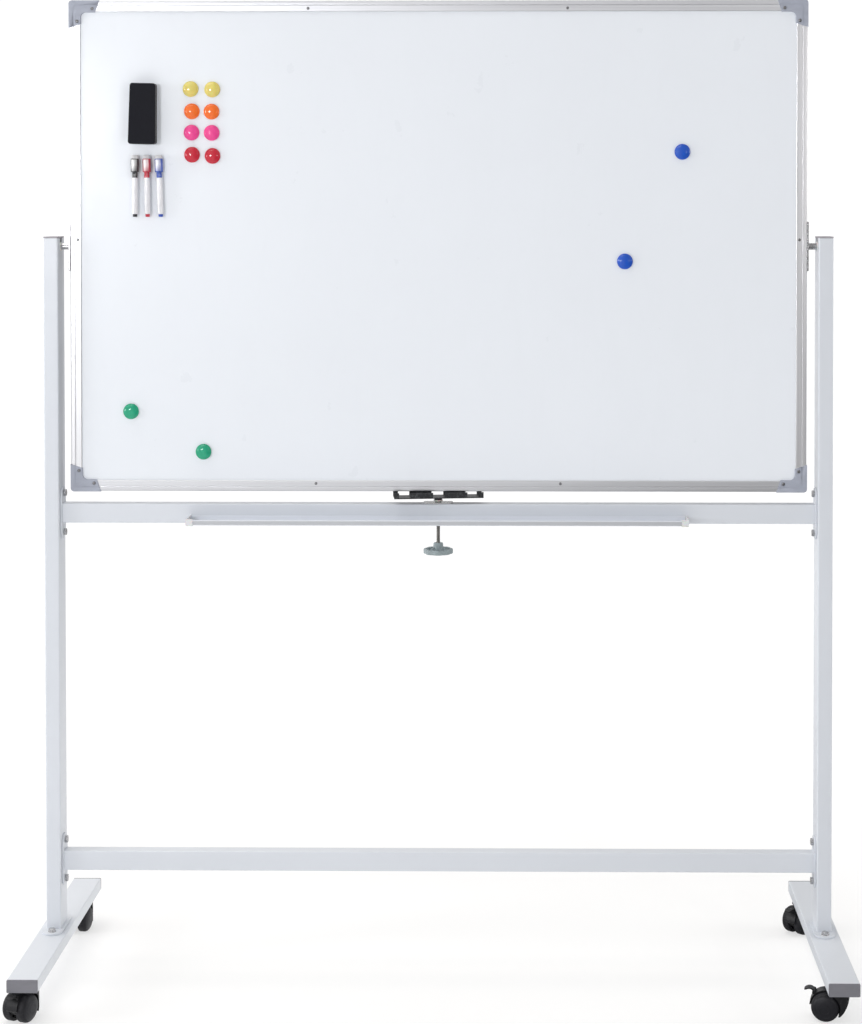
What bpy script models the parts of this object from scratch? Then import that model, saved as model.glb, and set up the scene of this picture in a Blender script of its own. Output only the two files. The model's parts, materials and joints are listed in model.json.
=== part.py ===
"""Rolling double-sided whiteboard: an aluminium-framed magnetic board that turns over on two side
pivots between the posts of a steel stand, held by a screw clamp under its lower edge, on four braked
twin-wheel casters. Metres, +Z up. X runs along the board, the front face looks along -Y, and the
origin is on the floor under the centre of the board."""

import math

import bmesh
import bpy
from mathutils import Matrix, Vector

# ---------------------------------------------------------------- shared dimensions (metres)
# Each section below begins with the sizes that only it uses.
GAP = 0.0003  # clearance between neighbouring pieces

BOARD_WIDTH = 1.498  # over the frame rails
BOARD_HEIGHT = 0.998
BOARD_CENTRE_Z = 1.485  # height of the pivots
BOARD_HALF_WIDTH = BOARD_WIDTH / 2
BOARD_HALF_HEIGHT = BOARD_HEIGHT / 2
BOARD_TOP_Z = BOARD_CENTRE_Z + BOARD_HALF_HEIGHT
BOARD_BOTTOM_Z = BOARD_CENTRE_Z - BOARD_HALF_HEIGHT
RAIL_DEPTH = 0.020
RAIL_WIDTH = 0.022

POST_X = 0.785
POST_WIDTH = 0.030
POST_DEPTH = 0.060
POST_WALL = 0.0018
POST_RADIUS = 0.0028
POST_TOP = 1.502
POST_INNER_X = POST_X - POST_WIDTH / 2  # the face towards the board

FOOT_WIDTH = 0.060
FOOT_HEIGHT = 0.025
FOOT_BOTTOM = 0.063
FOOT_TOP = FOOT_BOTTOM + FOOT_HEIGHT
FLANGE_BOLT_Y = 0.046

BAR_HEIGHT = 0.040
UPPER_BAR_Z = 0.941
LOWER_BAR_Z = 0.2275
PLATE_THICKNESS = 0.003
PLATE_BOLT_Z = 0.040
BOLT_RADIUS = 0.004
BOLT_HOLE_RADIUS = BOLT_RADIUS + GAP

SPINDLE_RADIUS = 0.00385
SPINDLE_HOLE_RADIUS = SPINDLE_RADIUS + 0.0004
SPINDLE_BORE_RADIUS = SPINDLE_RADIUS + GAP
JAW_PLATE_Z = 0.9729
JAW_YAW = math.radians(6.7)
KNOB_BOTTOM = 0.8576

CASTER_X = POST_X
CASTER_Y = 0.248

SIDES = (("left", -1), ("right", 1))
ENDS = (("front", -1), ("rear", 1))
BARS = (("upper", UPPER_BAR_Z), ("lower", LOWER_BAR_Z))
BOLT_LEVELS = (("top", PLATE_BOLT_Z), ("bottom", -PLATE_BOLT_Z))

FINISHES = {  # colour, roughness, metallic
    "white_steel": ((0.80, 0.81, 0.83), 0.42, 0.0),
    "aluminium": ((0.72, 0.73, 0.76), 0.32, 0.9),
    "writing_face": ((0.90, 0.91, 0.93), 0.12, 0.0),
    "core": ((0.55, 0.44, 0.30), 0.85, 0.0),
    "grey_plastic": ((0.42, 0.43, 0.49), 0.55, 0.0),
    "dark_grey_plastic": ((0.21, 0.20, 0.23), 0.55, 0.0),
    "clear_white_plastic": ((0.80, 0.80, 0.78), 0.35, 0.0),
    "zinc": ((0.60, 0.61, 0.62), 0.30, 1.0),
    "black_steel": ((0.05, 0.05, 0.06), 0.45, 0.0),
    "knob_plastic": ((0.34, 0.39, 0.41), 0.50, 0.0),
    "black_plastic": ((0.02, 0.02, 0.024), 0.40, 0.0),
    "tyre": ((0.03, 0.03, 0.035), 0.60, 0.0),
    "white_nylon": ((0.75, 0.75, 0.72), 0.45, 0.0),
}
SHARP_ANGLE = math.radians(35)

# Turns for outlines: the outline's (x, y) comes to lie in (Y, Z), (X, Z) or (X, Y).
ALONG_X = Matrix(((0, 0, 1, 0), (1, 0, 0, 0), (0, 1, 0, 0), (0, 0, 0, 1)))
ALONG_Y = Matrix(((1, 0, 0, 0), (0, 0, -1, 0), (0, 1, 0, 0), (0, 0, 0, 1)))
ALONG_Z = Matrix.Identity(4)

for old in list(bpy.data.objects):
    bpy.data.objects.remove(old, do_unlink=True)

PARTS = bpy.data.collections.new("rolling_whiteboard")
CUTTERS = bpy.data.collections.new("cutters")
bpy.context.scene.collection.children.link(PARTS)
bpy.context.scene.collection.children.link(CUTTERS)
CUTTERS.hide_render = True


# ---------------------------------------------------------------- outlines
def arc(centre_x, centre_y, radius, start, end, steps):
    """Points on an arc, in degrees, both ends included."""
    angles = [math.radians(start + (end - start) * i / steps) for i in range(steps + 1)]
    return [
        (centre_x + radius * math.cos(angle), centre_y + radius * math.sin(angle))
        for angle in angles
    ]


def circle(radius, steps, centre_x=0.0, centre_y=0.0):
    return arc(centre_x, centre_y, radius, 0, 360, steps)[:-1]


def rounded_rectangle(width, height, radius, steps):
    x, y = width / 2 - radius, height / 2 - radius
    return (
        arc(x, y, radius, 0, 90, steps)
        + arc(-x, y, radius, 90, 180, steps)
        + arc(-x, -y, radius, 180, 270, steps)
        + arc(x, -y, radius, 270, 360, steps)
    )


def tube_section(width, height, wall, outer_radius, inner_radius):
    """Outer and inner loops of a rectangular tube."""
    return [
        rounded_rectangle(width, height, outer_radius, 4),
        rounded_rectangle(width - 2 * wall, height - 2 * wall, inner_radius, 1),
    ]


def stadium(width, length, steps=8):
    """A strip of this width with round ends, its length along the outline's y."""
    half = length / 2 - width / 2
    return arc(0, half, width / 2, 0, 180, steps) + arc(0, -half, width / 2, 180, 360, steps)


# ---------------------------------------------------------------- shapes, each returned as a mesh
def mesh_from(work, name):
    mesh = bpy.data.meshes.new(name)
    work.to_mesh(mesh)
    work.free()
    return mesh


def cleaned(mesh, distance=1e-5):
    work = bmesh.new()
    work.from_mesh(mesh)
    bmesh.ops.remove_doubles(work, verts=work.verts, dist=distance)
    bmesh.ops.recalc_face_normals(work, faces=work.faces)
    work.to_mesh(mesh)
    work.free()
    return mesh


def evaluated_mesh(obj):
    bpy.context.view_layer.update()
    graph = bpy.context.evaluated_depsgraph_get()
    return bpy.data.meshes.new_from_object(obj.evaluated_get(graph))


def extruded(loops, thickness, turn=ALONG_Z, at=(0.0, 0.0, 0.0)):
    """Flat outline with any holes, filled, and extruded evenly to both sides of its plane."""
    curve = bpy.data.curves.new("outline", "CURVE")
    curve.dimensions = "2D"
    curve.fill_mode = "BOTH"
    curve.extrude = thickness / 2
    for loop in loops:
        spline = curve.splines.new("POLY")
        spline.points.add(len(loop) - 1)
        for point, (x, y) in zip(spline.points, loop):
            point.co = (x, y, 0.0, 1.0)
        spline.use_cyclic_u = True
    guide = bpy.data.objects.new("outline_guide", curve)
    CUTTERS.objects.link(guide)
    mesh = evaluated_mesh(guide)
    bpy.data.objects.remove(guide, do_unlink=True)
    mesh.transform(Matrix.Translation(at) @ turn)
    return cleaned(mesh)


def block(low, high):
    """A box between two opposite corners."""
    size = [end - start for start, end in zip(low, high)]
    centre = [(start + end) / 2 for start, end in zip(low, high)]
    matrix = Matrix.Translation(centre) @ Matrix.Diagonal((*size, 1.0))
    work = bmesh.new()
    bmesh.ops.create_cube(work, size=1.0, matrix=matrix)
    return mesh_from(work, "block")


def rod(start, end, radius, segments):
    """A solid cylinder from one point to another."""
    start, end = Vector(start), Vector(end)
    axis = end - start
    turn = Vector((0, 0, 1)).rotation_difference(axis).to_matrix().to_4x4()
    work = bmesh.new()
    bmesh.ops.create_cone(
        work,
        cap_ends=True,
        segments=segments,
        radius1=radius,
        radius2=radius,
        depth=axis.length,
        matrix=Matrix.Translation((start + end) / 2) @ turn,
    )
    return mesh_from(work, "rod")


def upright_rod(low, high, radius, segments, x=0.0, y=0.0):
    return rod((x, y, low), (x, y, high), radius, segments)


def turned(profile, steps):
    """A closed (radius, height) profile turned about Z."""
    work = bmesh.new()
    points = [work.verts.new((radius, 0.0, z)) for radius, z in profile]
    for point, following in zip(points, points[1:] + points[:1]):
        work.edges.new((point, following))
    guide = bpy.data.objects.new("profile_guide", mesh_from(work, "profile"))
    CUTTERS.objects.link(guide)
    screw = guide.modifiers.new("turn", "SCREW")
    screw.axis = "Z"
    screw.angle = math.radians(360)
    screw.steps = steps
    screw.render_steps = steps
    screw.use_merge_vertices = True
    screw.merge_threshold = 0.00001
    made = evaluated_mesh(guide)
    bpy.data.objects.remove(guide, do_unlink=True)
    return cleaned(made)


# ---------------------------------------------------------------- objects
def finish(obj, name):
    colour, roughness, metallic = FINISHES[name]
    made = bpy.data.materials.new(obj.name + "_" + name)
    made.use_nodes = True
    shader = made.node_tree.nodes["Principled BSDF"]
    shader.inputs["Base Color"].default_value = (*colour, 1.0)
    shader.inputs["Roughness"].default_value = roughness
    shader.inputs["Metallic"].default_value = metallic
    made.diffuse_color = (*colour, 1.0)
    obj.data.materials.clear()
    obj.data.materials.append(made)


def part(name, mesh, finish_name, parent=None, local=False):
    """A named piece. Its mesh is in world coordinates unless local is set."""
    if parent is not None and not local:
        mesh.transform(Matrix.Translation(-Vector(parent.location)))
    mesh.name = name
    mesh.shade_smooth()
    mesh.set_sharp_from_angle(angle=SHARP_ANGLE)
    obj = bpy.data.objects.new(name, mesh)
    PARTS.objects.link(obj)
    obj.parent = parent
    finish(obj, finish_name)
    return obj


def empty(name, location, yaw=0.0):
    made = bpy.data.objects.new(name, None)
    made.empty_display_size = 0.03
    made.location = location
    made.rotation_euler = (0.0, 0.0, yaw)
    PARTS.objects.link(made)
    return made


def helper(name, mesh, parent=None):
    """An unrendered object that a boolean modifier adds or cuts with."""
    if parent is not None:
        mesh.transform(Matrix.Translation(-Vector(parent.location)))
    obj = bpy.data.objects.new(name, mesh)
    CUTTERS.objects.link(obj)
    obj.parent = parent
    obj.hide_render = True
    obj.display_type = "WIRE"
    return obj


def combine(obj, operation, *helpers):
    for other in helpers:
        modifier = obj.modifiers.new(operation.lower() + "_" + other.name, "BOOLEAN")
        modifier.operation = operation
        modifier.solver = "EXACT"
        modifier.object = other


def baked(name, mesh, steps):
    """The mesh after these (operation, mesh) steps, so that its booleans leave no helpers."""
    guide = helper(name, mesh)
    others = [helper(f"{name}_{i}", other) for i, (_, other) in enumerate(steps)]
    for (operation, _), other in zip(steps, others):
        combine(guide, operation, other)
    made = evaluated_mesh(guide)
    for obj in [guide, *others]:
        bpy.data.objects.remove(obj, do_unlink=True)
    return cleaned(made, 1e-6)


board_pivot = empty("board_pivot", (0.0, 0.0, BOARD_CENTRE_Z))
clamp_axis = empty("clamp_axis", (0.0, 0.0, JAW_PLATE_Z), JAW_YAW)
screw_axis = empty("screw_axis", (0.0, 0.0, KNOB_BOTTOM))

# ---------------------------------------------------------------- board: sheets, core, frame rails
SHEET_EDGE = 0.012  # how far the sheets stop short of the outside of the rails
SHEET_OFFSET = 0.0062  # from the board's middle plane to a sheet's back
SHEET_FACE = SHEET_OFFSET + 0.0008
CORE_HALF = 0.0059

BOARD_LAYERS = (  # name, front y, rear y, finish
    ("writing_surface_front", -SHEET_FACE, -SHEET_OFFSET, "writing_face"),
    ("board_core", -CORE_HALF, CORE_HALF, "core"),
    ("writing_surface_rear", SHEET_OFFSET, SHEET_FACE, "writing_face"),
)
RAIL_FACE = -RAIL_DEPTH / 2
RAIL_FRONT = [  # (inwards, depth): a raised outer band, a groove and an inner band
    (0.0, RAIL_FACE + 0.0018),
    (0.0006, RAIL_FACE + 0.0006),
    (0.0020, RAIL_FACE),
    (0.0086, RAIL_FACE),
    (0.0090, RAIL_FACE + 0.0010),
    (0.0098, RAIL_FACE + 0.0010),
    (0.0102, RAIL_FACE + 0.0003),
    (RAIL_WIDTH - 0.0008, RAIL_FACE + 0.0003),
    (RAIL_WIDTH, RAIL_FACE + 0.0009),
    (RAIL_WIDTH, RAIL_FACE + 0.0026),
    (0.0016, RAIL_FACE + 0.0026),
]


def board_layers():
    half_x = BOARD_HALF_WIDTH - SHEET_EDGE
    low, high = BOARD_BOTTOM_Z + SHEET_EDGE, BOARD_TOP_Z - SHEET_EDGE
    for name, front, rear, finish_name in BOARD_LAYERS:
        mesh = block((-half_x, front, low), (half_x, rear, high))
        part(name, mesh, finish_name, board_pivot)


def frame_rail(place):
    """A channel with mitred ends, its rear a mirror of its front."""
    length = BOARD_WIDTH if place in ("top", "bottom") else BOARD_HEIGHT
    profile = RAIL_FRONT + [(inwards, -depth) for inwards, depth in reversed(RAIL_FRONT)]
    mesh = extruded([profile], length)
    for vertex in mesh.vertices:
        inwards, depth, along = vertex.co
        along = math.copysign(length / 2 - inwards - GAP / 2, along)
        vertex.co = {
            "top": (along, depth, BOARD_TOP_Z - inwards),
            "bottom": (along, depth, BOARD_BOTTOM_Z + inwards),
            "left": (-BOARD_HALF_WIDTH + inwards, depth, BOARD_CENTRE_Z + along),
            "right": (BOARD_HALF_WIDTH - inwards, depth, BOARD_CENTRE_Z + along),
        }[place]
    part("frame_rail_" + place, cleaned(mesh), "aluminium", board_pivot)


board_layers()
for rail_place in ("top", "bottom", "left", "right"):
    frame_rail(rail_place)

# ---------------------------------------------------------------- board: corner caps
CORNER_OVER = 0.0013  # how far a corner cap stands outside the rails
CORNER_HALF_DEPTH = 0.0113
CORNER_WIDTH = 0.0248
CORNER_ARM_LONG = 0.0625
CORNER_ARM_TALL = 0.0565
CORNER_SLANT = 0.0085
CORNER_OUTER_RADIUS = 0.006
CORNER_INNER_RADIUS = 0.008
CORNER_PANEL_SPACE = (0.012, 0.12)  # start and end, inwards from the frame's edges
CORNER_PANEL_CLEARANCE = 0.0005
RAIL_SPACE_REACH = 0.1  # past the ends of the cap's arms


def corner_cap(name, side_x, side_z):
    """An L-shaped cap, hollowed to fit over two rails and the panel."""

    def placed(points):
        """Points given inwards from the frame's outer edges, as (X, Z)."""
        return [
            (
                side_x * (BOARD_HALF_WIDTH - inwards_x),
                BOARD_CENTRE_Z + side_z * (BOARD_HALF_HEIGHT - inwards_z),
            )
            for inwards_x, inwards_z in points
        ]

    outer_centre = CORNER_OUTER_RADIUS - CORNER_OVER
    inner_centre = CORNER_WIDTH + CORNER_INNER_RADIUS
    outline = [
        (-CORNER_OVER, CORNER_ARM_TALL),
        *arc(outer_centre, outer_centre, CORNER_OUTER_RADIUS, 180, 270, 4),
        (CORNER_ARM_LONG, -CORNER_OVER),
        (CORNER_ARM_LONG - CORNER_SLANT, CORNER_WIDTH),
        *arc(inner_centre, inner_centre, CORNER_INNER_RADIUS, 270, 180, 4),
        (CORNER_WIDTH, CORNER_ARM_TALL - CORNER_SLANT),
    ]
    mesh = extruded([placed(outline)], 2 * CORNER_HALF_DEPTH, ALONG_Y)
    cap = part(name, mesh, "grey_plastic", board_pivot)

    inner, reach = RAIL_WIDTH + GAP, RAIL_SPACE_REACH
    around = [(-GAP, -GAP), (reach, -GAP), (reach, inner), (inner, inner), (inner, reach)]
    around.append((-GAP, reach))
    mesh = extruded([placed(around)], RAIL_DEPTH + 2 * GAP, ALONG_Y)
    rails = helper(name + "_rail_space", mesh, board_pivot)

    xs, zs = zip(*placed((inwards, inwards) for inwards in CORNER_PANEL_SPACE))
    depth = SHEET_FACE + CORNER_PANEL_CLEARANCE
    mesh = block((min(xs), -depth, min(zs)), (max(xs), depth, max(zs)))
    panel = helper(name + "_panel_space", mesh, board_pivot)
    combine(cap, "DIFFERENCE", rails, panel)


for vertical, toward_z in (("top", 1), ("bottom", -1)):
    for across, side in SIDES:
        corner_cap(f"corner_cap_{vertical}_{across}", side, toward_z)

# ---------------------------------------------------------------- pivots
BRACKET_THICKNESS = 0.003
BRACKET_HEIGHT = 0.100
BRACKET_RADIUS = 0.003
PIN_RADIUS = 0.0065
PIN_END_X = 0.7785
BUSH_PROFILE = [  # radius, distance outwards from the post's inner face
    (0.00675, -0.0008), (0.0090, -0.0008), (0.0090, 0.0022), (0.0114, 0.0022),
    (0.0114, 0.0042), (0.0090, 0.0042), (0.0090, 0.0058), (0.00675, 0.0058),
]


def pivot_bracket(across, side):
    """A plate lying on the frame's edge, with the pin welded to it."""
    centre = (side * (BOARD_HALF_WIDTH + GAP + BRACKET_THICKNESS / 2), 0.0, BOARD_CENTRE_Z)
    outline = rounded_rectangle(RAIL_DEPTH, BRACKET_HEIGHT, BRACKET_RADIUS, 3)
    plate = extruded([outline], BRACKET_THICKNESS, ALONG_X, centre)
    bracket = part("pivot_bracket_" + across, plate, "zinc", board_pivot)
    pin = rod(centre, (side * PIN_END_X, 0, BOARD_CENTRE_Z), PIN_RADIUS, 28)
    combine(bracket, "UNION", helper("pivot_pin_" + across, pin, board_pivot))


def pivot_bush(across, side):
    """A flanged ring that sits in the slot of the post's inner wall."""
    mesh = turned(BUSH_PROFILE, 20)
    for vertex in mesh.vertices:
        x, y, z = vertex.co
        vertex.co = (side * (POST_INNER_X + z), x, BOARD_CENTRE_Z + y)
    part("pivot_bush_" + across, cleaned(mesh), "white_nylon")


# ---------------------------------------------------------------- posts and their caps
FLANGE_WIDTH = 0.042
FLANGE_LENGTH = 0.122
FLANGE_THICKNESS = 0.004
FLANGE_Z = FOOT_TOP + GAP + FLANGE_THICKNESS / 2  # mid-thickness, where the tube starts
POST_INSIDE_RADIUS = 0.0010
SLOT_HALF = 0.0093
SLOT_RISE = 0.05  # above the pivot, through the top of the post
SLOT_CUT_DEPTH = 0.006
WALL_CUT_REACH = 0.003  # of the bolt-hole cutters, each way from the middle of the wall
POST_CAP = 0.003
POST_PLUG = 0.0063
POST_PLUG_RADIUS = 0.0015


def post(across, side):
    """A tube on a foot flange, slotted for the pivot and drilled for the crossbars' bolts."""
    section = tube_section(POST_DEPTH, POST_WIDTH, POST_WALL, POST_RADIUS, POST_INSIDE_RADIUS)
    section = tube_section(POST_WIDTH, POST_DEPTH, POST_WALL, POST_RADIUS, POST_INSIDE_RADIUS)
    centre = (side * POST_X, 0.0, (POST_TOP + FLANGE_Z) / 2)
    tube = part("post_" + across, extruded(section, POST_TOP - FLANGE_Z, ALONG_Z, centre), "white_steel")

    holes = [circle(BOLT_HOLE_RADIUS, 12, 0.0, y) for y in (FLANGE_BOLT_Y, -FLANGE_BOLT_Y)]
    flange = extruded(
        [stadium(FLANGE_WIDTH, FLANGE_LENGTH), *holes],
        FLANGE_THICKNESS,
        ALONG_Z,
        (side * POST_X, 0.0, FLANGE_Z),
    )
    combine(tube, "UNION", helper("post_flange_" + across, flange))

    wall_x = side * (POST_INNER_X + POST_WALL / 2)
    slot = [(SLOT_HALF, SLOT_RISE), *arc(0, 0, SLOT_HALF, 0, -180, 10), (-SLOT_HALF, SLOT_RISE)]
    mesh = extruded([slot], SLOT_CUT_DEPTH, ALONG_X, (wall_x, 0.0, BOARD_CENTRE_Z))
    cuts = [helper("pivot_slot_" + across, mesh)]
    low_x, high_x = wall_x - WALL_CUT_REACH, wall_x + WALL_CUT_REACH
    for bar, bar_z in BARS:
        for level, offset in BOLT_LEVELS:
            z = bar_z + offset
            hole = rod((low_x, 0, z), (high_x, 0, z), BOLT_HOLE_RADIUS, 12)
            cuts.append(helper(f"post_hole_{bar}_{level}_{across}", hole))
    combine(tube, "DIFFERENCE", *cuts)


def post_cap(across, side):
    """A flat cap over the post's end, with a plug inside the tube."""
    outline = rounded_rectangle(POST_WIDTH, POST_DEPTH, POST_RADIUS, 4)
    centre = (side * POST_X, 0.0, POST_TOP + GAP + POST_CAP / 2)
    mesh = extruded([outline], POST_CAP, ALONG_Z, centre)
    cap = part("post_cap_" + across, mesh, "grey_plastic")
    inset = 2 * (POST_WALL + GAP)
    outline = rounded_rectangle(POST_WIDTH - inset, POST_DEPTH - inset, POST_PLUG_RADIUS, 2)
    centre = (side * POST_X, 0.0, POST_TOP + POST_CAP / 2 - POST_PLUG / 2)
    plug = extruded([outline], POST_PLUG, ALONG_Z, centre)
    combine(cap, "UNION", helper("post_cap_plug_" + across, plug))


# ---------------------------------------------------------------- feet and their end caps
FOOT_HALF_LENGTH = 0.600 / 2  # over the end caps
FOOT_WALL = 0.0018
FOOT_RADIUS = 0.0022
FOOT_INSIDE_RADIUS = 0.0006
FOOT_Z = FOOT_BOTTOM + FOOT_HEIGHT / 2
FOOT_CAP = 0.0032
FOOT_PLUG = 0.0134
FOOT_PLUG_RADIUS = 0.0012
STEM_HOLE_RADIUS = 0.0060
STEM_CUT = (FOOT_BOTTOM - 0.003, FOOT_BOTTOM + 0.005)
FOOT_BOLT_CUT = (FOOT_TOP - 0.004, FOOT_TOP + 0.003)


def foot(across, side):
    """A tube along Y, drilled below for the caster stems and above for the flange bolts."""
    section = tube_section(FOOT_WIDTH, FOOT_HEIGHT, FOOT_WALL, FOOT_RADIUS, FOOT_INSIDE_RADIUS)
    length = 2 * (FOOT_HALF_LENGTH - FOOT_CAP - GAP)
    mesh = extruded(section, length, ALONG_Y, (side * POST_X, 0.0, FOOT_Z))
    tube = part("foot_" + across, mesh, "white_steel")
    cuts = []
    for end, toward in ENDS:
        x, y = side * CASTER_X, toward * CASTER_Y
        hole = upright_rod(*STEM_CUT, STEM_HOLE_RADIUS, 20, x, y)
        cuts.append(helper(f"stem_hole_{end}_{across}", hole))
        x, y = side * POST_X, toward * FLANGE_BOLT_Y
        hole = upright_rod(*FOOT_BOLT_CUT, BOLT_HOLE_RADIUS, 12, x, y)
        cuts.append(helper(f"foot_bolt_hole_{end}_{across}", hole))
    combine(tube, "DIFFERENCE", *cuts)


def foot_end_cap(across, side, end, toward):
    """A flat cap over the foot's end, with a plug inside the tube."""
    middle = FOOT_HALF_LENGTH - FOOT_CAP / 2
    outline = rounded_rectangle(FOOT_WIDTH, FOOT_HEIGHT, FOOT_RADIUS, 4)
    centre = (side * POST_X, toward * middle, FOOT_Z)
    mesh = extruded([outline], FOOT_CAP, ALONG_Y, centre)
    cap = part(f"foot_end_cap_{end}_{across}", mesh, "dark_grey_plastic")
    inset = 2 * (FOOT_WALL + GAP)
    outline = rounded_rectangle(FOOT_WIDTH - inset, FOOT_HEIGHT - inset, FOOT_PLUG_RADIUS, 2)
    centre = (side * POST_X, toward * (middle - FOOT_PLUG / 2), FOOT_Z)
    plug = extruded([outline], FOOT_PLUG, ALONG_Y, centre)
    combine(cap, "UNION", helper(f"foot_cap_plug_{end}_{across}", plug))


for across, side in SIDES:
    pivot_bracket(across, side)
    pivot_bush(across, side)
    post(across, side)
    post_cap(across, side)
    foot(across, side)
    for foot_end, toward_y in ENDS:
        foot_end_cap(across, side, foot_end, toward_y)

# ---------------------------------------------------------------- crossbars and their bolts
BAR_DEPTH = 0.030
BAR_WALL = 0.0015
BAR_RADIUS = 0.0028
BAR_INSIDE_RADIUS = 0.0012
PLATE_WIDTH = 0.040
PLATE_HEIGHT = 0.106
PLATE_HOLE_RADIUS = 0.007
PLATE_X = POST_INNER_X - GAP - PLATE_THICKNESS / 2  # mid-thickness
SPINDLE_CUT_REACH = 0.03  # above and below the bar's middle
BOLT_HEAD_RADIUS = 0.0075
BOLT_HEAD_HEIGHT = 0.0053
BOLT_SEAT_X = POST_INNER_X - GAP - PLATE_THICKNESS - GAP
SHANK_START_X = BOLT_SEAT_X - 0.003  # inside the head
SHANK_END_X = POST_INNER_X + 0.011
SHANK_RADIUS = BOLT_RADIUS - 0.0001


def crossbar(name, z):
    """A tube along X with an end plate welded to each end."""
    section = tube_section(BAR_DEPTH, BAR_HEIGHT, BAR_WALL, BAR_RADIUS, BAR_INSIDE_RADIUS)
    bar = part(name, extruded(section, 2 * PLATE_X, ALONG_X, (0.0, 0.0, z)), "white_steel")
    outline = [stadium(PLATE_WIDTH, PLATE_HEIGHT)]
    outline += [circle(BOLT_HOLE_RADIUS, 12, 0.0, offset) for _, offset in BOLT_LEVELS]
    outline.append(circle(PLATE_HOLE_RADIUS, 12))
    for across, side in SIDES:
        plate = extruded(outline, PLATE_THICKNESS, ALONG_X, (side * PLATE_X, 0.0, z))
        combine(bar, "UNION", helper(f"{name}_plate_{across}", plate))
    return bar


def bolt(name, side, z):
    """A hexagon bolt through an end plate into the post, its head on the plate's inner face."""
    head_end = BOLT_SEAT_X - BOLT_HEAD_HEIGHT
    head = rod((side * BOLT_SEAT_X, 0, z), (side * head_end, 0, z), BOLT_HEAD_RADIUS, 6)
    shank = rod((side * SHANK_START_X, 0, z), (side * SHANK_END_X, 0, z), SHANK_RADIUS, 12)
    combine(part(name, head, "zinc"), "UNION", helper(name + "_shank", shank))


upper_bar = crossbar("upper_crossbar", UPPER_BAR_Z)
crossbar("lower_crossbar", LOWER_BAR_Z)
spindle_cut = upright_rod(
    UPPER_BAR_Z - SPINDLE_CUT_REACH, UPPER_BAR_Z + SPINDLE_CUT_REACH, SPINDLE_HOLE_RADIUS, 20
)
combine(upper_bar, "DIFFERENCE", helper("spindle_hole", spindle_cut))

for bar_name, height in BARS:
    for across, side in SIDES:
        for bolt_level, bolt_offset in BOLT_LEVELS:
            bolt_name = f"{bar_name}_crossbar_bolt_{across}_{bolt_level}"
            bolt(bolt_name, side, height + bolt_offset)

# ---------------------------------------------------------------- pen tray and its end caps
TRAY_HALF = 0.503
TRAY_BACK = -0.0154
TRAY_FRONT = -0.0715
TRAY_BASE = 0.9248
TRAY_CAP_END = TRAY_HALF + 0.0028
TRAY_CAP_SKIRT = 0.0142
TRAY_SPACE_LENGTH = 0.030

TRAY_SECTION = [  # y, z
    (TRAY_BACK, TRAY_BASE + 0.0124),
    (TRAY_BACK, TRAY_BASE),
    (TRAY_FRONT + 0.0020, TRAY_BASE),
    (TRAY_FRONT, TRAY_BASE + 0.0020),
    (TRAY_FRONT, TRAY_BASE + 0.0102),
    (TRAY_FRONT + 0.0008, TRAY_BASE + 0.0114),
    (TRAY_FRONT + 0.0019, TRAY_BASE + 0.0108),
    (TRAY_FRONT + 0.0019, TRAY_BASE + 0.0032),
    (TRAY_FRONT + 0.0030, TRAY_BASE + 0.0015),
    (TRAY_BACK - 0.0015, TRAY_BASE + 0.0015),
    (TRAY_BACK - 0.0015, TRAY_BASE + 0.0124),
]
TRAY_CAP_OUTLINE = [  # y, z
    (TRAY_BACK + 0.0001, TRAY_BASE + 0.0130),
    (TRAY_BACK + 0.0001, TRAY_BASE - 0.0014),
    (TRAY_FRONT + 0.0012, TRAY_BASE - 0.0014),
    (TRAY_FRONT - 0.0014, TRAY_BASE + 0.0012),
    (TRAY_FRONT - 0.0014, TRAY_BASE + 0.0116),
    (TRAY_FRONT + 0.0004, TRAY_BASE + 0.0130),
    (TRAY_FRONT + 0.0026, TRAY_BASE + 0.0130),
]
TRAY_SPACE = [  # y, z of the hollow in an end cap, open behind and above
    (TRAY_BACK + 0.005, TRAY_BASE + 0.04),
    (TRAY_BACK + 0.005, TRAY_BASE - 0.0003),
    (TRAY_FRONT + 0.0019, TRAY_BASE - 0.0003),
    (TRAY_FRONT - 0.0003, TRAY_BASE + 0.0019),
    (TRAY_FRONT - 0.0003, TRAY_BASE + 0.0104),
    (TRAY_FRONT + 0.0006, TRAY_BASE + 0.0117),
    (TRAY_FRONT + 0.0006, TRAY_BASE + 0.04),
]


def tray_end_cap(across, side):
    centre = (side * (TRAY_CAP_END - TRAY_CAP_SKIRT / 2), 0.0, 0.0)
    mesh = extruded([TRAY_CAP_OUTLINE], TRAY_CAP_SKIRT, ALONG_X, centre)
    cap = part("tray_end_cap_" + across, mesh, "clear_white_plastic")
    centre = (side * (TRAY_HALF + GAP - TRAY_SPACE_LENGTH / 2), 0.0, 0.0)
    space = extruded([TRAY_SPACE], TRAY_SPACE_LENGTH, ALONG_X, centre)
    combine(cap, "DIFFERENCE", helper("tray_cap_space_" + across, space))


part("pen_tray", extruded([TRAY_SECTION], 2 * TRAY_HALF, ALONG_X), "aluminium")
for across, side in SIDES:
    tray_end_cap(across, side)

# ---------------------------------------------------------------- screw clamp under the board
GUIDE_WIDTH = 0.059
GUIDE_DEPTH = 0.026
GUIDE_RADIUS = 0.004
GUIDE_THICKNESS = 0.002
COLLAR_BOTTOM = 0.9638
COLLAR_TOP = 0.9655
COLLAR_RADIUS = 0.0065
WASHER_THICKNESS = 0.0019
WASHER_RADIUS = 0.0095
SPINDLE_BOTTOM = KNOB_BOTTOM + 0.0015
SPINDLE_TOP = JAW_PLATE_Z - 0.0009

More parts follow.
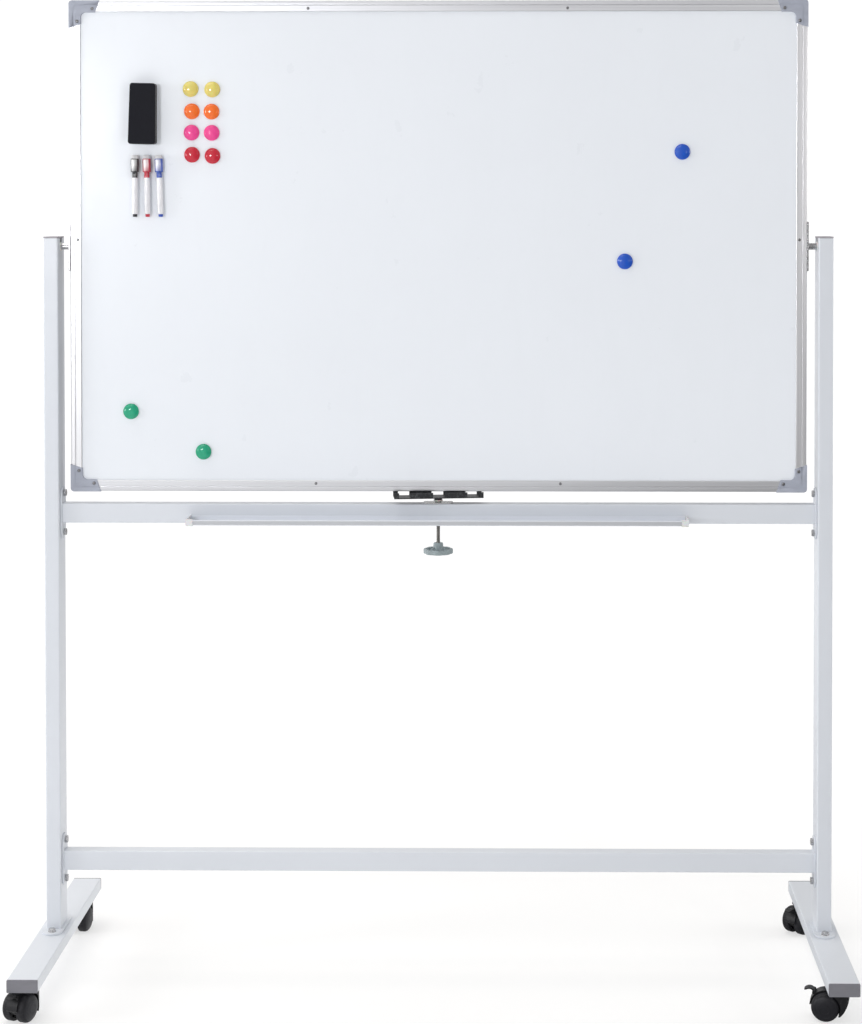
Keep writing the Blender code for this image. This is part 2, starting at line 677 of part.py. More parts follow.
# The jaw's heights are above the underside of its plate, and its lengths along X before the yaw.
JAW_LENGTH = 0.182
JAW_INSIDE = 0.021  # half the gap between the lips
JAW_PLATE = 0.002
JAW_OUTSIDE = JAW_INSIDE + JAW_PLATE
LIP_TOP = JAW_PLATE + 0.010
LIP_NOTCHES = [(-0.081, -0.058), (-0.012, 0.012), (0.058, 0.081)]  # start and end
NOTCH_REACH = 0.03  # of the notch cutters, past the lips
SOCKET_RADIUS = 0.008
SOCKET_SPAN = (-0.0049, 0.001)
SOCKET_BORE = (-0.01, -0.0004)

KNOB_RADIUS = 0.030
KNOB_RIM_HEIGHT = 0.0104
KNOB_WAVE = 0.0009  # amplitude of the lobes
KNOB_LOBES = 8
KNOB_HUB_RADIUS = 0.0105
KNOB_HUB_START = KNOB_BOTTOM + 0.004
KNOB_TOP = 0.880
KNOB_BORE_OVER = 0.01
WINDOW_COUNT = 5
WINDOW_OUTER_RADIUS = 0.0235
WINDOW_INNER_RADIUS = 0.0135


def clamp_guide_plate():
    outline = rounded_rectangle(GUIDE_WIDTH, GUIDE_DEPTH, GUIDE_RADIUS, 3)
    z = UPPER_BAR_Z + BAR_HEIGHT / 2 + GAP + GUIDE_THICKNESS / 2
    loops = [outline, circle(SPINDLE_HOLE_RADIUS, 20)]
    mesh = extruded(loops, GUIDE_THICKNESS, ALONG_Z, (0.0, 0.0, z))
    part("clamp_guide_plate", mesh, "zinc")


def clamp_thrust_washer():
    z = COLLAR_TOP + GAP + WASHER_THICKNESS / 2
    loops = [circle(WASHER_RADIUS, 24), circle(SPINDLE_HOLE_RADIUS, 20)]
    mesh = extruded(loops, WASHER_THICKNESS, ALONG_Z, (0.0, 0.0, z))
    part("clamp_thrust_washer", mesh, "white_nylon")


def clamp_jaw():
    """A channel cut back to separate lips, with a socket for the spindle's tip below it."""
    channel = [
        (-JAW_OUTSIDE, 0.0),
        (JAW_OUTSIDE, 0.0),
        (JAW_OUTSIDE, LIP_TOP),
        (JAW_INSIDE, LIP_TOP),
        (JAW_INSIDE, JAW_PLATE),
        (-JAW_INSIDE, JAW_PLATE),
        (-JAW_INSIDE, LIP_TOP),
        (-JAW_OUTSIDE, LIP_TOP),
    ]
    steps = [("UNION", upright_rod(*SOCKET_SPAN, SOCKET_RADIUS, 24))]
    for start, end in LIP_NOTCHES:
        notch = block((start, -NOTCH_REACH, JAW_PLATE), (end, NOTCH_REACH, NOTCH_REACH))
        steps.append(("DIFFERENCE", notch))
    steps.append(("DIFFERENCE", upright_rod(*SOCKET_BORE, SPINDLE_BORE_RADIUS, 20)))
    mesh = baked("jaw", extruded([channel], JAW_LENGTH, ALONG_X), steps)
    part("clamp_jaw", mesh, "black_steel", clamp_axis, local=True)


def clamp_spindle():
    mesh = upright_rod(SPINDLE_BOTTOM, SPINDLE_TOP, SPINDLE_RADIUS, 20)
    spindle = part("clamp_spindle", mesh, "zinc", screw_axis)
    collar = upright_rod(COLLAR_BOTTOM, COLLAR_TOP, COLLAR_RADIUS, 24)
    combine(spindle, "UNION", helper("spindle_collar", collar, screw_axis))


def knob_rim(points=64):
    """A circle with a wavy edge."""
    outline = []
    for i in range(points):
        angle = 2 * math.pi * i / points
        radius = KNOB_RADIUS - KNOB_WAVE + KNOB_WAVE * math.cos(KNOB_LOBES * angle)
        outline.append((radius * math.cos(angle), radius * math.sin(angle)))
    return outline


def clamp_knob():
    """A lobed rim with windows round a hub, bored for the spindle."""
    loops = [knob_rim()]
    for i in range(WINDOW_COUNT):
        start = 360 / WINDOW_COUNT * i
        window = arc(0, 0, WINDOW_OUTER_RADIUS, start + 9, start + 63, 6)
        window += arc(0, 0, WINDOW_INNER_RADIUS, start + 58, start + 14, 4)
        loops.append(window)
    centre = (0.0, 0.0, KNOB_BOTTOM + KNOB_RIM_HEIGHT / 2)
    mesh = extruded(loops, KNOB_RIM_HEIGHT, ALONG_Z, centre)
    knob = part("clamp_knob", mesh, "knob_plastic", screw_axis)
    hub = upright_rod(KNOB_HUB_START, KNOB_TOP, KNOB_HUB_RADIUS, 24)
    low, high = KNOB_BOTTOM - KNOB_BORE_OVER, KNOB_TOP + KNOB_BORE_OVER
    bore = upright_rod(low, high, SPINDLE_BORE_RADIUS, 20)
    combine(knob, "UNION", helper("knob_hub", hub, screw_axis))
    combine(knob, "DIFFERENCE", helper("knob_bore", bore, screw_axis))


clamp_guide_plate()
clamp_thrust_washer()
clamp_jaw()
clamp_spindle()
clamp_knob()

# ---------------------------------------------------------------- casters
# Each is modelled about its stem: x runs the way it trails, z is height above the floor.
WHEEL_RADIUS = 0.0275
WHEEL_SEGMENTS = 20
HALF_FACET = math.pi / WHEEL_SEGMENTS
CASTER_TRAIL = 0.028
AXLE_Z = WHEEL_RADIUS * math.cos(HALF_FACET)  # the wheels stand on a flat facet
AXLE_RADIUS = 0.0030
AXLE_HALF = 0.0270
WEB_HALF = 0.0055
POCKET_END = 0.05
HOOD_HALF = 0.0248
HOOD_RADIUS = 0.0307
HOOD_WALL = 0.0017
HOOD_PLAN_X = 0.0085  # centre of the plan's rounded leading end
HOOD_PLAN_RADIUS = 0.0262
FENDER_HALF = 0.0118
LEVER_X, LEVER_Z = CASTER_TRAIL + 0.0222, AXLE_Z + 0.0248  # the lever's pin
LUG_SPAN = (0.0086, 0.0110)  # distances from the middle plane
LUG_RADIUS = 0.0036
LUG_HOLE_RADIUS = 0.0018
LUG_CUT_REACH = 0.02
STEM_SHOULDER = (0.0560, FOOT_BOTTOM - 0.0004, 0.0115)  # bottom, top, radius
STEM = (0.0600, FOOT_BOTTOM + 0.0200, 0.0055)
PEDAL_WIDTH = 0.0162
LEVER_PIN_HALF = 0.0107
LEVER_PIN_RADIUS = 0.0014
CASTER_YAW = {  # degrees anticlockwise from +X, the way each caster trails
    "front_left": 250,
    "front_right": 168,
    "rear_left": 262,
    "rear_right": 228,
}
HOUSING_SIDE = [  # x, z from the top, down the leading edge and back along the underside
    (0.0140, 0.0575), (0.0090, 0.0600), (-0.0080, 0.0600), (-0.0135, 0.0572),
    (-0.0165, 0.0510), (-0.0172, 0.0430), (-0.0145, 0.0310), (-0.0085, 0.0205),
    (-0.0005, 0.0125), (0.0035, 0.0128), (0.0160, 0.0145), (0.0280, 0.0130),
    (0.0400, 0.0150), (0.0500, 0.0205),
]
HOUSING_PLAN = [  # x, y of the trailing part, wide hood to narrow fender and back
    (0.0130, -HOOD_HALF), (0.0205, -FENDER_HALF), (0.07, -FENDER_HALF),
    (0.07, FENDER_HALF), (0.0205, FENDER_HALF), (0.0130, HOOD_HALF),
]
WHEEL_PROFILE = [  # radius, distance from the caster's middle
    (0.0033, 0.0065), (0.0260, 0.0065), (0.0275, 0.0080), (0.0275, 0.0175),
    (0.0260, 0.0225), (0.0212, 0.0262), (0.0127, 0.0280), (0.0033, 0.0284),
]
PEDAL_OUTLINE = [  # x, z about the pin: out along the top, back along the underside
    (-0.0024, 0.0006), (-0.0012, 0.0030), (0.0015, 0.0056), (0.0055, 0.0074),
    (0.0105, 0.0076), (0.0155, 0.0060), (0.0190, 0.0040),
    (0.0186, 0.0018), (0.0148, 0.0034), (0.0105, 0.0048), (0.0065, 0.0048),
    (0.0038, 0.0034), (0.0024, 0.0004), (0.0012, -0.0016), (-0.0012, -0.0016),
]


def cross_rod(x, z, start, end, radius, segments):
    """A cylinder along Y."""
    return rod((x, start, z), (x, end, z), radius, segments)


def caster_housing():
    """A hood with a central web between two wheel pockets, lever lugs, stem and axle."""
    side_view = arc(CASTER_TRAIL, AXLE_Z, HOOD_RADIUS, 4, 98, 12) + HOUSING_SIDE
    plan = [
        (x, y * HOOD_HALF / HOOD_PLAN_RADIUS)
        for x, y in arc(HOOD_PLAN_X, 0.0, HOOD_PLAN_RADIUS, 90, 270, 12)
    ]
    steps = [("INTERSECT", extruded([plan + HOUSING_PLAN], 0.2))]
    for side in (1, -1):
        pocket = cross_rod(
            CASTER_TRAIL, AXLE_Z, side * WEB_HALF, side * POCKET_END, HOOD_RADIUS - HOOD_WALL, 30
        )
        start, end = (side * distance for distance in LUG_SPAN)
        lug = cross_rod(LEVER_X, LEVER_Z, start, end, LUG_RADIUS, 12)
        steps += [("DIFFERENCE", pocket), ("UNION", lug)]
    hole = cross_rod(LEVER_X, LEVER_Z, -LUG_CUT_REACH, LUG_CUT_REACH, LUG_HOLE_RADIUS, 12)
    axle = cross_rod(CASTER_TRAIL, AXLE_Z, -AXLE_HALF, AXLE_HALF, AXLE_RADIUS, 12)
    steps += [
        ("DIFFERENCE", hole),
        ("UNION", upright_rod(*STEM_SHOULDER, 18)),
        ("UNION", upright_rod(*STEM, 14)),
        ("UNION", axle),
    ]
    return baked("housing", extruded([side_view], 2 * HOOD_HALF + 0.002, ALONG_Y), steps)


def caster_wheel():
    """Turned about the axle, y, and by half a facet so that a flat faces the floor."""
    mesh = turned(WHEEL_PROFILE, WHEEL_SEGMENTS)
    for vertex in mesh.vertices:
        x, y, z = vertex.co
        angle = math.atan2(y, x) + HALF_FACET
        radius = math.hypot(x, y)
        vertex.co = (radius * math.cos(angle), z, radius * math.sin(angle))
    return cleaned(mesh)


def mirrored_wheel(mesh):
    mirror = mesh.copy()
    mirror.transform(Matrix.Diagonal((1.0, -1.0, 1.0, 1.0)))
    return cleaned(mirror)


def brake_lever():
    """A curved pedal about its pin, which is the mesh's origin."""
    pin = cross_rod(0, 0, -LEVER_PIN_HALF, LEVER_PIN_HALF, LEVER_PIN_RADIUS, 12)
    return baked("lever", extruded([PEDAL_OUTLINE], PEDAL_WIDTH, ALONG_Y), [("UNION", pin)])


def casters():
    """Four casters from the same meshes, each on its own swivel."""
    housing, wheel, lever = caster_housing(), caster_wheel(), brake_lever()
    axle = (CASTER_TRAIL, 0.0, AXLE_Z)
    pieces = (  # name before the corner, name after it, mesh, finish, location
        ("caster_housing_", "", housing, "black_plastic", (0.0, 0.0, 0.0)),
        ("caster_wheel_", "_a", wheel, "tyre", axle),
        ("caster_wheel_", "_b", mirrored_wheel(wheel), "tyre", axle),
        ("brake_lever_", "", lever, "black_plastic", (LEVER_X, 0.0, LEVER_Z)),
    )
    for end, toward in ENDS:
        for across, side in SIDES:
            corner = f"{end}_{across}"
            location = (side * CASTER_X, toward * CASTER_Y, 0.0)
            swivel = empty("caster_swivel_" + corner, location, math.radians(CASTER_YAW[corner]))
            for before, after, mesh, finish_name, place in pieces:
                name = before + corner + after
                part(name, mesh.copy(), finish_name, swivel, local=True).location = place


casters()
bpy.context.view_layer.update()
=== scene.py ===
"""Looks of a rolling whiteboard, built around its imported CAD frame: materials, fine meshes, light and camera."""

import json
import math

import bmesh
import bpy
from mathutils import Matrix, Vector


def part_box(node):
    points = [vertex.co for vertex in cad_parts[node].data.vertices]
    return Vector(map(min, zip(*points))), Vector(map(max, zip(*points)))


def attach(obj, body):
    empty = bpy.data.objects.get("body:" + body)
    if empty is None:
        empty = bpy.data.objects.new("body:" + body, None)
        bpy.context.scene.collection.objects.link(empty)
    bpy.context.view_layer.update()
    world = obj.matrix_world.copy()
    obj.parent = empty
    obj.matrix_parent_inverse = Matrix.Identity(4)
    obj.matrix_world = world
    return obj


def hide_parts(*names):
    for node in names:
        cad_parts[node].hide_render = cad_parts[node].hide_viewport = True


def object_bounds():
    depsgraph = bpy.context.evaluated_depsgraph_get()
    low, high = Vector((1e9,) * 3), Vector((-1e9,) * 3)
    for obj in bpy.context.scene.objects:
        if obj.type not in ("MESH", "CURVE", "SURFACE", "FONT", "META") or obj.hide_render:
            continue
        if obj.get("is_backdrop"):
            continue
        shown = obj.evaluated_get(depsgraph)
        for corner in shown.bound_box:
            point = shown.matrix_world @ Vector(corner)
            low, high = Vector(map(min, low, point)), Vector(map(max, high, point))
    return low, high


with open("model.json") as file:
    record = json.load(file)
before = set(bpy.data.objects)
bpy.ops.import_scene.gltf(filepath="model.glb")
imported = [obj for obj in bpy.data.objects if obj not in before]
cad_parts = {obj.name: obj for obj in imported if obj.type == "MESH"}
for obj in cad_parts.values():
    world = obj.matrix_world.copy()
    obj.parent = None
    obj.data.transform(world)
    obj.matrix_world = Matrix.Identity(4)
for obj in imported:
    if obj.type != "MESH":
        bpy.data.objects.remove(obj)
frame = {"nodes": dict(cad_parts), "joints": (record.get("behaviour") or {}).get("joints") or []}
nodes = frame["nodes"]
joints = {j["name"]: j for j in frame["joints"]}
cad_low, cad_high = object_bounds()
scene = bpy.context.scene

CORNERS = ("front_left", "front_right", "rear_left", "rear_right")
MM = 0.001


# ------------------------------------------------------------------ materials
class Graph:
    """A small helper that wires one material's nodes."""

    def __init__(self, name):
        self.material = bpy.data.materials.new(name)
        self.material.use_nodes = True
        self.tree = self.material.node_tree
        self.tree.nodes.clear()
        self.coords = self.add("ShaderNodeTexCoord")

    def add(self, kind, inputs=None, **settings):
        node = self.tree.nodes.new(kind)
        for key, value in settings.items():
            setattr(node, key, value)
        for key, value in (inputs or {}).items():
            self.put(node, key, value)
        return node

    def put(self, node, key, value):
        if isinstance(value, bpy.types.NodeSocket):
            self.tree.links.new(value, node.inputs[key])
        else:
            node.inputs[key].default_value = value

    def space(self, stretch=(1, 1, 1), turn=(0, 0, 0)):
        node = self.add("ShaderNodeMapping", {"Vector": self.coords.outputs["Object"], "Scale": stretch, "Rotation": turn})
        return node.outputs["Vector"]

    def noise(self, scale, detail=3.0, rough=0.55, stretch=(1, 1, 1), distortion=0.0):
        inputs = {"Vector": self.space(stretch), "Scale": scale, "Detail": detail, "Roughness": rough, "Distortion": distortion}
        return self.add("ShaderNodeTexNoise", inputs).outputs["Fac"]

    def cells(self, scale, stretch=(1, 1, 1), feature="F1"):
        node = self.add("ShaderNodeTexVoronoi", {"Vector": self.space(stretch), "Scale": scale}, feature=feature)
        return node.outputs["Distance"]

    def ramp(self, value, low, high, out_low=0.0, out_high=1.0):
        inputs = {"Value": value, "From Min": low, "From Max": high, "To Min": out_low, "To Max": out_high}
        return self.add("ShaderNodeMapRange", inputs, clamp=True).outputs["Result"]

    def mix(self, factor, a, b):
        node = self.add("ShaderNodeMix", data_type="RGBA")
        self.put(node, 0, factor)
        self.put(node, 6, a)
        self.put(node, 7, b)
        return node.outputs[2]

    def math(self, operation, a, b):
        node = self.add("ShaderNodeMath", operation=operation)
        self.put(node, 0, a)
        self.put(node, 1, b)
        return node.outputs[0]

    def bump(self, height, strength, distance, normal=None):
        inputs = {"Height": height, "Strength": strength, "Distance": distance}
        if normal is not None:
            inputs["Normal"] = normal
        return self.add("ShaderNodeBump", inputs).outputs["Normal"]

    def surface(self, color, roughness, metallic=0.0, normal=None, **extra):
        inputs = {"Base Color": color, "Roughness": roughness, "Metallic": metallic}
        if normal is not None:
            inputs["Normal"] = normal
        inputs.update(extra)
        node = self.add("ShaderNodeBsdfPrincipled", inputs)
        output = self.add("ShaderNodeOutputMaterial")
        self.tree.links.new(node.outputs["BSDF"], output.inputs["Surface"])
        return self.material


def rgb(color, factor=1.0):
    return (color[0] * factor, color[1] * factor, color[2] * factor, 1.0)


def powder_coat(name, color):
    """Satin powder paint: an orange-peel skin, faint clouding and a few rubbed spots."""
    g = Graph(name)
    cloud = g.ramp(g.noise(5.0, 4.0), 0.3, 0.7)
    base = g.mix(cloud, rgb(color, 0.975), rgb(color, 1.0))
    specks = g.ramp(g.noise(420.0, 2.0), 0.74, 0.80)
    base = g.mix(g.math("MULTIPLY", specks, 0.25), base, rgb(color, 0.80))
    rough = g.ramp(g.noise(28.0, 5.0), 0.25, 0.75, 0.30, 0.42)
    peel = g.bump(g.noise(780.0, 2.0), 0.10, 0.00015)
    wave = g.bump(g.noise(45.0, 2.0), 0.06, 0.0006, peel)
    return g.surface(base, rough, 0.0, wave, **{"Coat Weight": 0.18, "Coat Roughness": 0.22})


def enamel(name, color):
    """Glossy baked enamel on steel sheet: long shallow waves and faint wiping marks left by an eraser."""
    g = Graph(name)
    cloud = g.ramp(g.noise(2.2, 3.0), 0.35, 0.65)
    base = g.mix(cloud, rgb(color, 0.985), rgb(color, 1.0))
    wipe = g.ramp(g.noise(3.0, 6.0, 0.6, (9, 1, 1.4), 0.6), 0.52, 0.70)
    base = g.mix(g.math("MULTIPLY", wipe, 0.10), base, rgb(color, 0.93))
    rough = g.math("ADD", g.ramp(g.noise(16.0, 5.0), 0.3, 0.7, 0.27, 0.34), g.math("MULTIPLY", wipe, 0.06))
    wave = g.bump(g.noise(6.5, 2.0), 0.05, 0.0012)
    return g.surface(base, rough, 0.0, wave, **{"Coat Weight": 0.08, "Coat Roughness": 0.12, "Specular IOR Level": 0.35})


def brushed(name, color, along, roughness=0.34, depth=1.0):
    """Satin anodised aluminium with fine lines along its length."""
    g = Graph(name)
    stretch = tuple(2.2 if i == along else 620.0 for i in range(3))
    coarse = tuple(1.1 if i == along else 150.0 for i in range(3))
    fine = g.noise(1.0, 4.0, 0.6, stretch)
    lines = g.noise(1.0, 3.0, 0.5, coarse)
    tone = g.ramp(g.math("ADD", g.math("MULTIPLY", fine, 0.6), g.math("MULTIPLY", lines, 0.4)), 0.35, 0.65)
    base = g.mix(tone, rgb(color, 0.90), rgb(color, 1.04))
    dull = g.ramp(g.noise(7.0, 5.0), 0.3, 0.7)
    base = g.mix(g.math("MULTIPLY", dull, 0.25), base, rgb(color, 0.94))
    rough = g.ramp(fine, 0.3, 0.7, roughness - 0.05, roughness + 0.07)
    normal = g.bump(fine, 0.10 * depth, 0.00006)
    return g.surface(base, rough, 0.92, normal, Anisotropic=0.35)


def moulded(name, color, roughness=0.5, grain=900.0, depth=0.12, gloss=0.0, specular=0.5):
    """Injection-moulded plastic with a spark-eroded grain and slight flow marks."""
    g = Graph(name)
    flow = g.ramp(g.noise(30.0, 4.0, 0.5, (1, 1, 2.5), 0.4), 0.3, 0.7)
    base = g.mix(flow, rgb(color, 0.93), rgb(color, 1.05))
    dots = g.cells(grain)
    rough = g.ramp(g.noise(120.0, 4.0), 0.3, 0.7, roughness - 0.06, roughness + 0.07)
    normal = g.bump(dots, depth, 0.00008)
    normal = g.bump(g.noise(90.0, 2.0), 0.05, 0.0003, normal)
    return g.surface(base, rough, 0.0, normal, **{"Coat Weight": gloss, "Coat Roughness": 0.12, "Specular IOR Level": specular})


def plated(name, color, roughness=0.24):
    """Bright zinc plate: small crystals, tiny pits and a faint yellow and blue cast."""
    g = Graph(name)
    grain = g.ramp(g.cells(520.0), 0.0, 0.8)
    base = g.mix(grain, rgb(color, 0.92), rgb(color, 1.03))
    cast = g.ramp(g.noise(70.0, 3.0), 0.4, 0.7)
    base = g.mix(g.math("MULTIPLY", cast, 0.20), base, rgb((color[0], color[1] * 0.98, color[2] * 0.90)))
    rough = g.ramp(g.noise(260.0, 4.0), 0.3, 0.7, roughness - 0.05, roughness + 0.10)
    normal = g.bump(g.noise(900.0, 3.0), 0.12, 0.00006)
    return g.surface(base, rough, 0.96, normal)


def tray_paint(name):
    """Satin white on drawn aluminium: lines along its length, and painted shade that greys the front face of the lip.
    """
    g = Graph(name)
    fine = g.noise(1.0, 4.0, 0.6, (2.2, 620.0, 620.0))
    tone = g.ramp(fine, 0.35, 0.65)
    base = g.mix(tone, rgb((0.70, 0.73, 0.79)), rgb((0.74, 0.77, 0.83)))
    where = g.add("ShaderNodeSeparateXYZ", {"Vector": g.coords.outputs["Object"]})
    # painted shade: the lip's front face below z 0.9335 is mixed towards dark grey, standing in for the shade under
    # the lip
    painted_shade_lip = g.math("MULTIPLY", g.ramp(where.outputs["Z"], 0.9335, 0.9345, 1.0, 0.0), g.ramp(where.outputs["Y"], -0.0711, -0.0708, 1.0, 0.0))
    base = g.mix(g.math("MULTIPLY", painted_shade_lip, 0.75), base, rgb((0.42, 0.43, 0.45)))
    rough = g.ramp(fine, 0.3, 0.7, 0.32, 0.44)
    normal = g.bump(fine, 0.08, 0.00006)
    return g.surface(base, rough, 0.15, normal, **{"Coat Weight": 0.15, "Coat Roughness": 0.2})


def black_steel(name, color):
    """Thin black paint on stamped steel, rubbed a little greyer in places."""
    g = Graph(name)
    rub = g.ramp(g.noise(160.0, 6.0, 0.65), 0.50, 0.68)
    base = g.mix(g.math("MULTIPLY", rub, 0.45), rgb(color), rgb((0.16, 0.17, 0.18)))
    rough = g.ramp(g.noise(220.0, 4.0), 0.3, 0.7, 0.32, 0.50)
    normal = g.bump(g.noise(950.0, 2.0), 0.14, 0.0001)
    return g.surface(base, rough, 0.25, normal)


def soft_tread(name, color):
    """Grey-black polyurethane: matt, with dusty scuffs and fine rings round the wheel."""
    g = Graph(name)
    dust = g.ramp(g.noise(140.0, 6.0, 0.65), 0.50, 0.72)
    base = g.mix(g.math("MULTIPLY", dust, 0.30), rgb(color), rgb((0.055, 0.055, 0.060)))
    rough = g.ramp(g.noise(300.0, 4.0), 0.3, 0.7, 0.55, 0.75)
    normal = g.bump(g.noise(700.0, 3.0), 0.22, 0.00012)
    return g.surface(base, rough, 0.0, normal, **{"Specular IOR Level": 0.3})


def felt(name, color):
    """Pressed felt: short fibres that catch the light at a grazing angle."""
    g = Graph(name)
    fibre = g.noise(1600.0, 5.0, 0.7, (1, 1, 0.35), 1.2)
    clump = g.noise(180.0, 4.0)
    base = g.mix(g.ramp(fibre, 0.35, 0.7), rgb(color, 0.7), rgb(color, 1.7))
    base = g.mix(g.ramp(clump, 0.3, 0.7, 0.0, 0.3), base, rgb(color, 0.8))
    normal = g.bump(fibre, 0.55, 0.0004)
    normal = g.bump(clump, 0.30, 0.0010, normal)
    extra = {"Sheen Weight": 0.25, "Sheen Roughness": 0.5, "Specular IOR Level": 0.2}
    return g.surface(base, 0.95, 0.0, normal, **extra)


def board_core(name):
    """Honeycomb board: six-sided paper cells in kraft brown."""
    g = Graph(name)
    edge = g.cells(90.0, (1, 1, 1), "DISTANCE_TO_EDGE")
    wall = g.ramp(edge, 0.02, 0.08)
    fibre = g.ramp(g.noise(300.0, 5.0, 0.6, (1, 1, 3)), 0.3, 0.7)
    paper = g.mix(fibre, rgb((0.46, 0.33, 0.20)), rgb((0.60, 0.45, 0.29)))
    base = g.mix(wall, rgb((0.66, 0.51, 0.34)), paper)
    normal = g.bump(g.math("ADD", g.math("MULTIPLY", wall, -0.8), fibre), 0.4, 0.0003)
    return g.surface(base, 0.85, 0.0, normal)


def milky(name, color):
    """Half-clear white plastic."""
    g = Graph(name)
    flow = g.ramp(g.noise(60.0, 3.0), 0.3, 0.7)
    base = g.mix(flow, rgb(color, 0.96), rgb(color, 1.0))
    rough = g.ramp(g.noise(150.0, 3.0), 0.3, 0.7, 0.20, 0.34)
    normal = g.bump(g.noise(600.0, 2.0), 0.06, 0.0001)
    extra = {"Subsurface Weight": 0.25, "Subsurface Scale": 0.002, "Coat Weight": 0.2}
    return g.surface(base, rough, 0.0, normal, **extra)


def glossy(name, color, glow=0.0, painted_highlight=False):
    """Polished coloured plastic, as on magnets and marker caps; a cap can carry a painted white highlight on its
    front.
    """
    g = Graph(name)
    swirl = g.ramp(g.noise(55.0, 4.0, 0.5, (1, 1, 1), 0.8), 0.3, 0.7)
    base = g.mix(swirl, rgb(color, 0.93), rgb(color, 1.04))
    if painted_highlight:
        # painted highlight: the cap's front is mixed towards white, fainter towards its lower end, where a lamp's
        # reflection would lie
        where = g.add("ShaderNodeSeparateXYZ", {"Vector": g.coords.outputs["Object"]})
        across, up = where.outputs["X"], where.outputs["Z"]
        painted_highlight_mask = g.math("MULTIPLY", g.ramp(across, -0.0068, -0.0056), g.ramp(across, 0.0010, 0.0064, 1.0, 0.0))
        painted_highlight_mask = g.math("MULTIPLY", painted_highlight_mask, g.ramp(up, 0.0930, 0.1060, 0.35, 1.0))
        painted_highlight_mask = g.math("MULTIPLY", painted_highlight_mask, g.math("MULTIPLY", g.ramp(up, 0.0925, 0.0935), g.ramp(up, 0.1162, 0.1172, 1.0, 0.0)))
        front = g.ramp(where.outputs["Y"], -0.004, 0.0, 1.0, 0.0)
        base = g.mix(g.math("MULTIPLY", g.math("MULTIPLY", painted_highlight_mask, front), 0.85), base, rgb((0.86, 0.86, 0.88)))
    rough = g.ramp(g.noise(240.0, 4.0), 0.35, 0.75, 0.10, 0.20)
    normal = g.bump(g.noise(130.0, 2.0), 0.03, 0.0003)
    extra = {"Coat Weight": 0.55, "Coat Roughness": 0.02, "Specular IOR Level": 0.25}
    if glow:
        extra.update({"Subsurface Weight": glow, "Subsurface Scale": 0.002})
    return g.surface(base, rough, 0.0, normal, **extra)


WHITE = (0.680, 0.712, 0.768)
M = {
    "stand_paint": powder_coat("stand_paint_white", WHITE),
    "writing_face": enamel("writing_face_enamel", (0.815, 0.850, 0.905)),
    "board_core": board_core("honeycomb_core"),
    # painted light: the rails are one aluminium, but the upright rails are made lighter (0.76) than the lengthways
    # rails (0.70) to brighten the side rails
    "alu_x": brushed("frame_aluminium_lengthways", (0.70, 0.705, 0.73), 0),
    "alu_z": brushed("frame_aluminium_upright", (0.76, 0.76, 0.78), 2),
    "tray_aluminium": tray_paint("tray_satin_white"),
    "corner_cap_plastic": moulded("corner_cap_plastic", (0.365, 0.390, 0.465), 0.48),
    "tray_cap_plastic": milky("tray_cap_plastic", (0.74, 0.745, 0.76)),
    "post_cap_plastic": moulded("post_cap_plastic", (0.365, 0.350, 0.385), 0.5),
    "foot_cap_plastic": moulded("foot_cap_plastic", (0.187, 0.187, 0.212), 0.52),
    "zinc_plated_steel": plated("zinc_plate", (0.50, 0.50, 0.51)),
    "screw_steel": plated("nickel_screw_steel", (0.24, 0.24, 0.25), 0.30),
    "jaw_paint": black_steel("jaw_black_paint", (0.022, 0.023, 0.026)),
    "spindle_steel": plated("oiled_spindle_steel", (0.30, 0.29, 0.27), 0.30),
    "knob_plastic": moulded("knob_plastic", (0.275, 0.330, 0.345), 0.42, 700.0, 0.15, 0.15),
    "caster_plastic": moulded("caster_plastic", (0.009, 0.009, 0.011), 0.40, 1100.0, 0.08, 0.0, 0.32),
    "wheel_hub": moulded("wheel_hub_plastic", (0.010, 0.010, 0.014), 0.42, 1000.0, 0.08, 0.0, 0.32),
    "wheel_tyre": soft_tread("wheel_tread", (0.010, 0.010, 0.013)),
    "bush_nylon": milky("bush_nylon", (0.80, 0.80, 0.76)),
    "felt": felt("eraser_felt", (0.0070, 0.0075, 0.0120)),
    "eraser_back": moulded("eraser_back_plastic", (0.50, 0.53, 0.62), 0.5),
}


# ------------------------------------------------------------------ CAD nodes that stay
def tidy_group():
    """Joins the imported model's split corners, so that edges can be rounded."""
    group = bpy.data.node_groups.new("join_split_corners", "GeometryNodeTree")
    group.interface.new_socket("Geometry", in_out="INPUT", socket_type="NodeSocketGeometry")
    group.interface.new_socket("Geometry", in_out="OUTPUT", socket_type="NodeSocketGeometry")
    start, end = group.nodes.new("NodeGroupInput"), group.nodes.new("NodeGroupOutput")
    drop = group.nodes.new("GeometryNodeRemoveAttribute")
    drop.inputs["Name"].default_value = "custom_normal"
    merge = group.nodes.new("GeometryNodeMergeByDistance")
    merge.inputs["Distance"].default_value = 0.00001
    group.links.new(start.outputs[0], drop.inputs["Geometry"])
    group.links.new(drop.outputs["Geometry"], merge.inputs["Geometry"])
    group.links.new(merge.outputs["Geometry"], end.inputs[0])
    return group


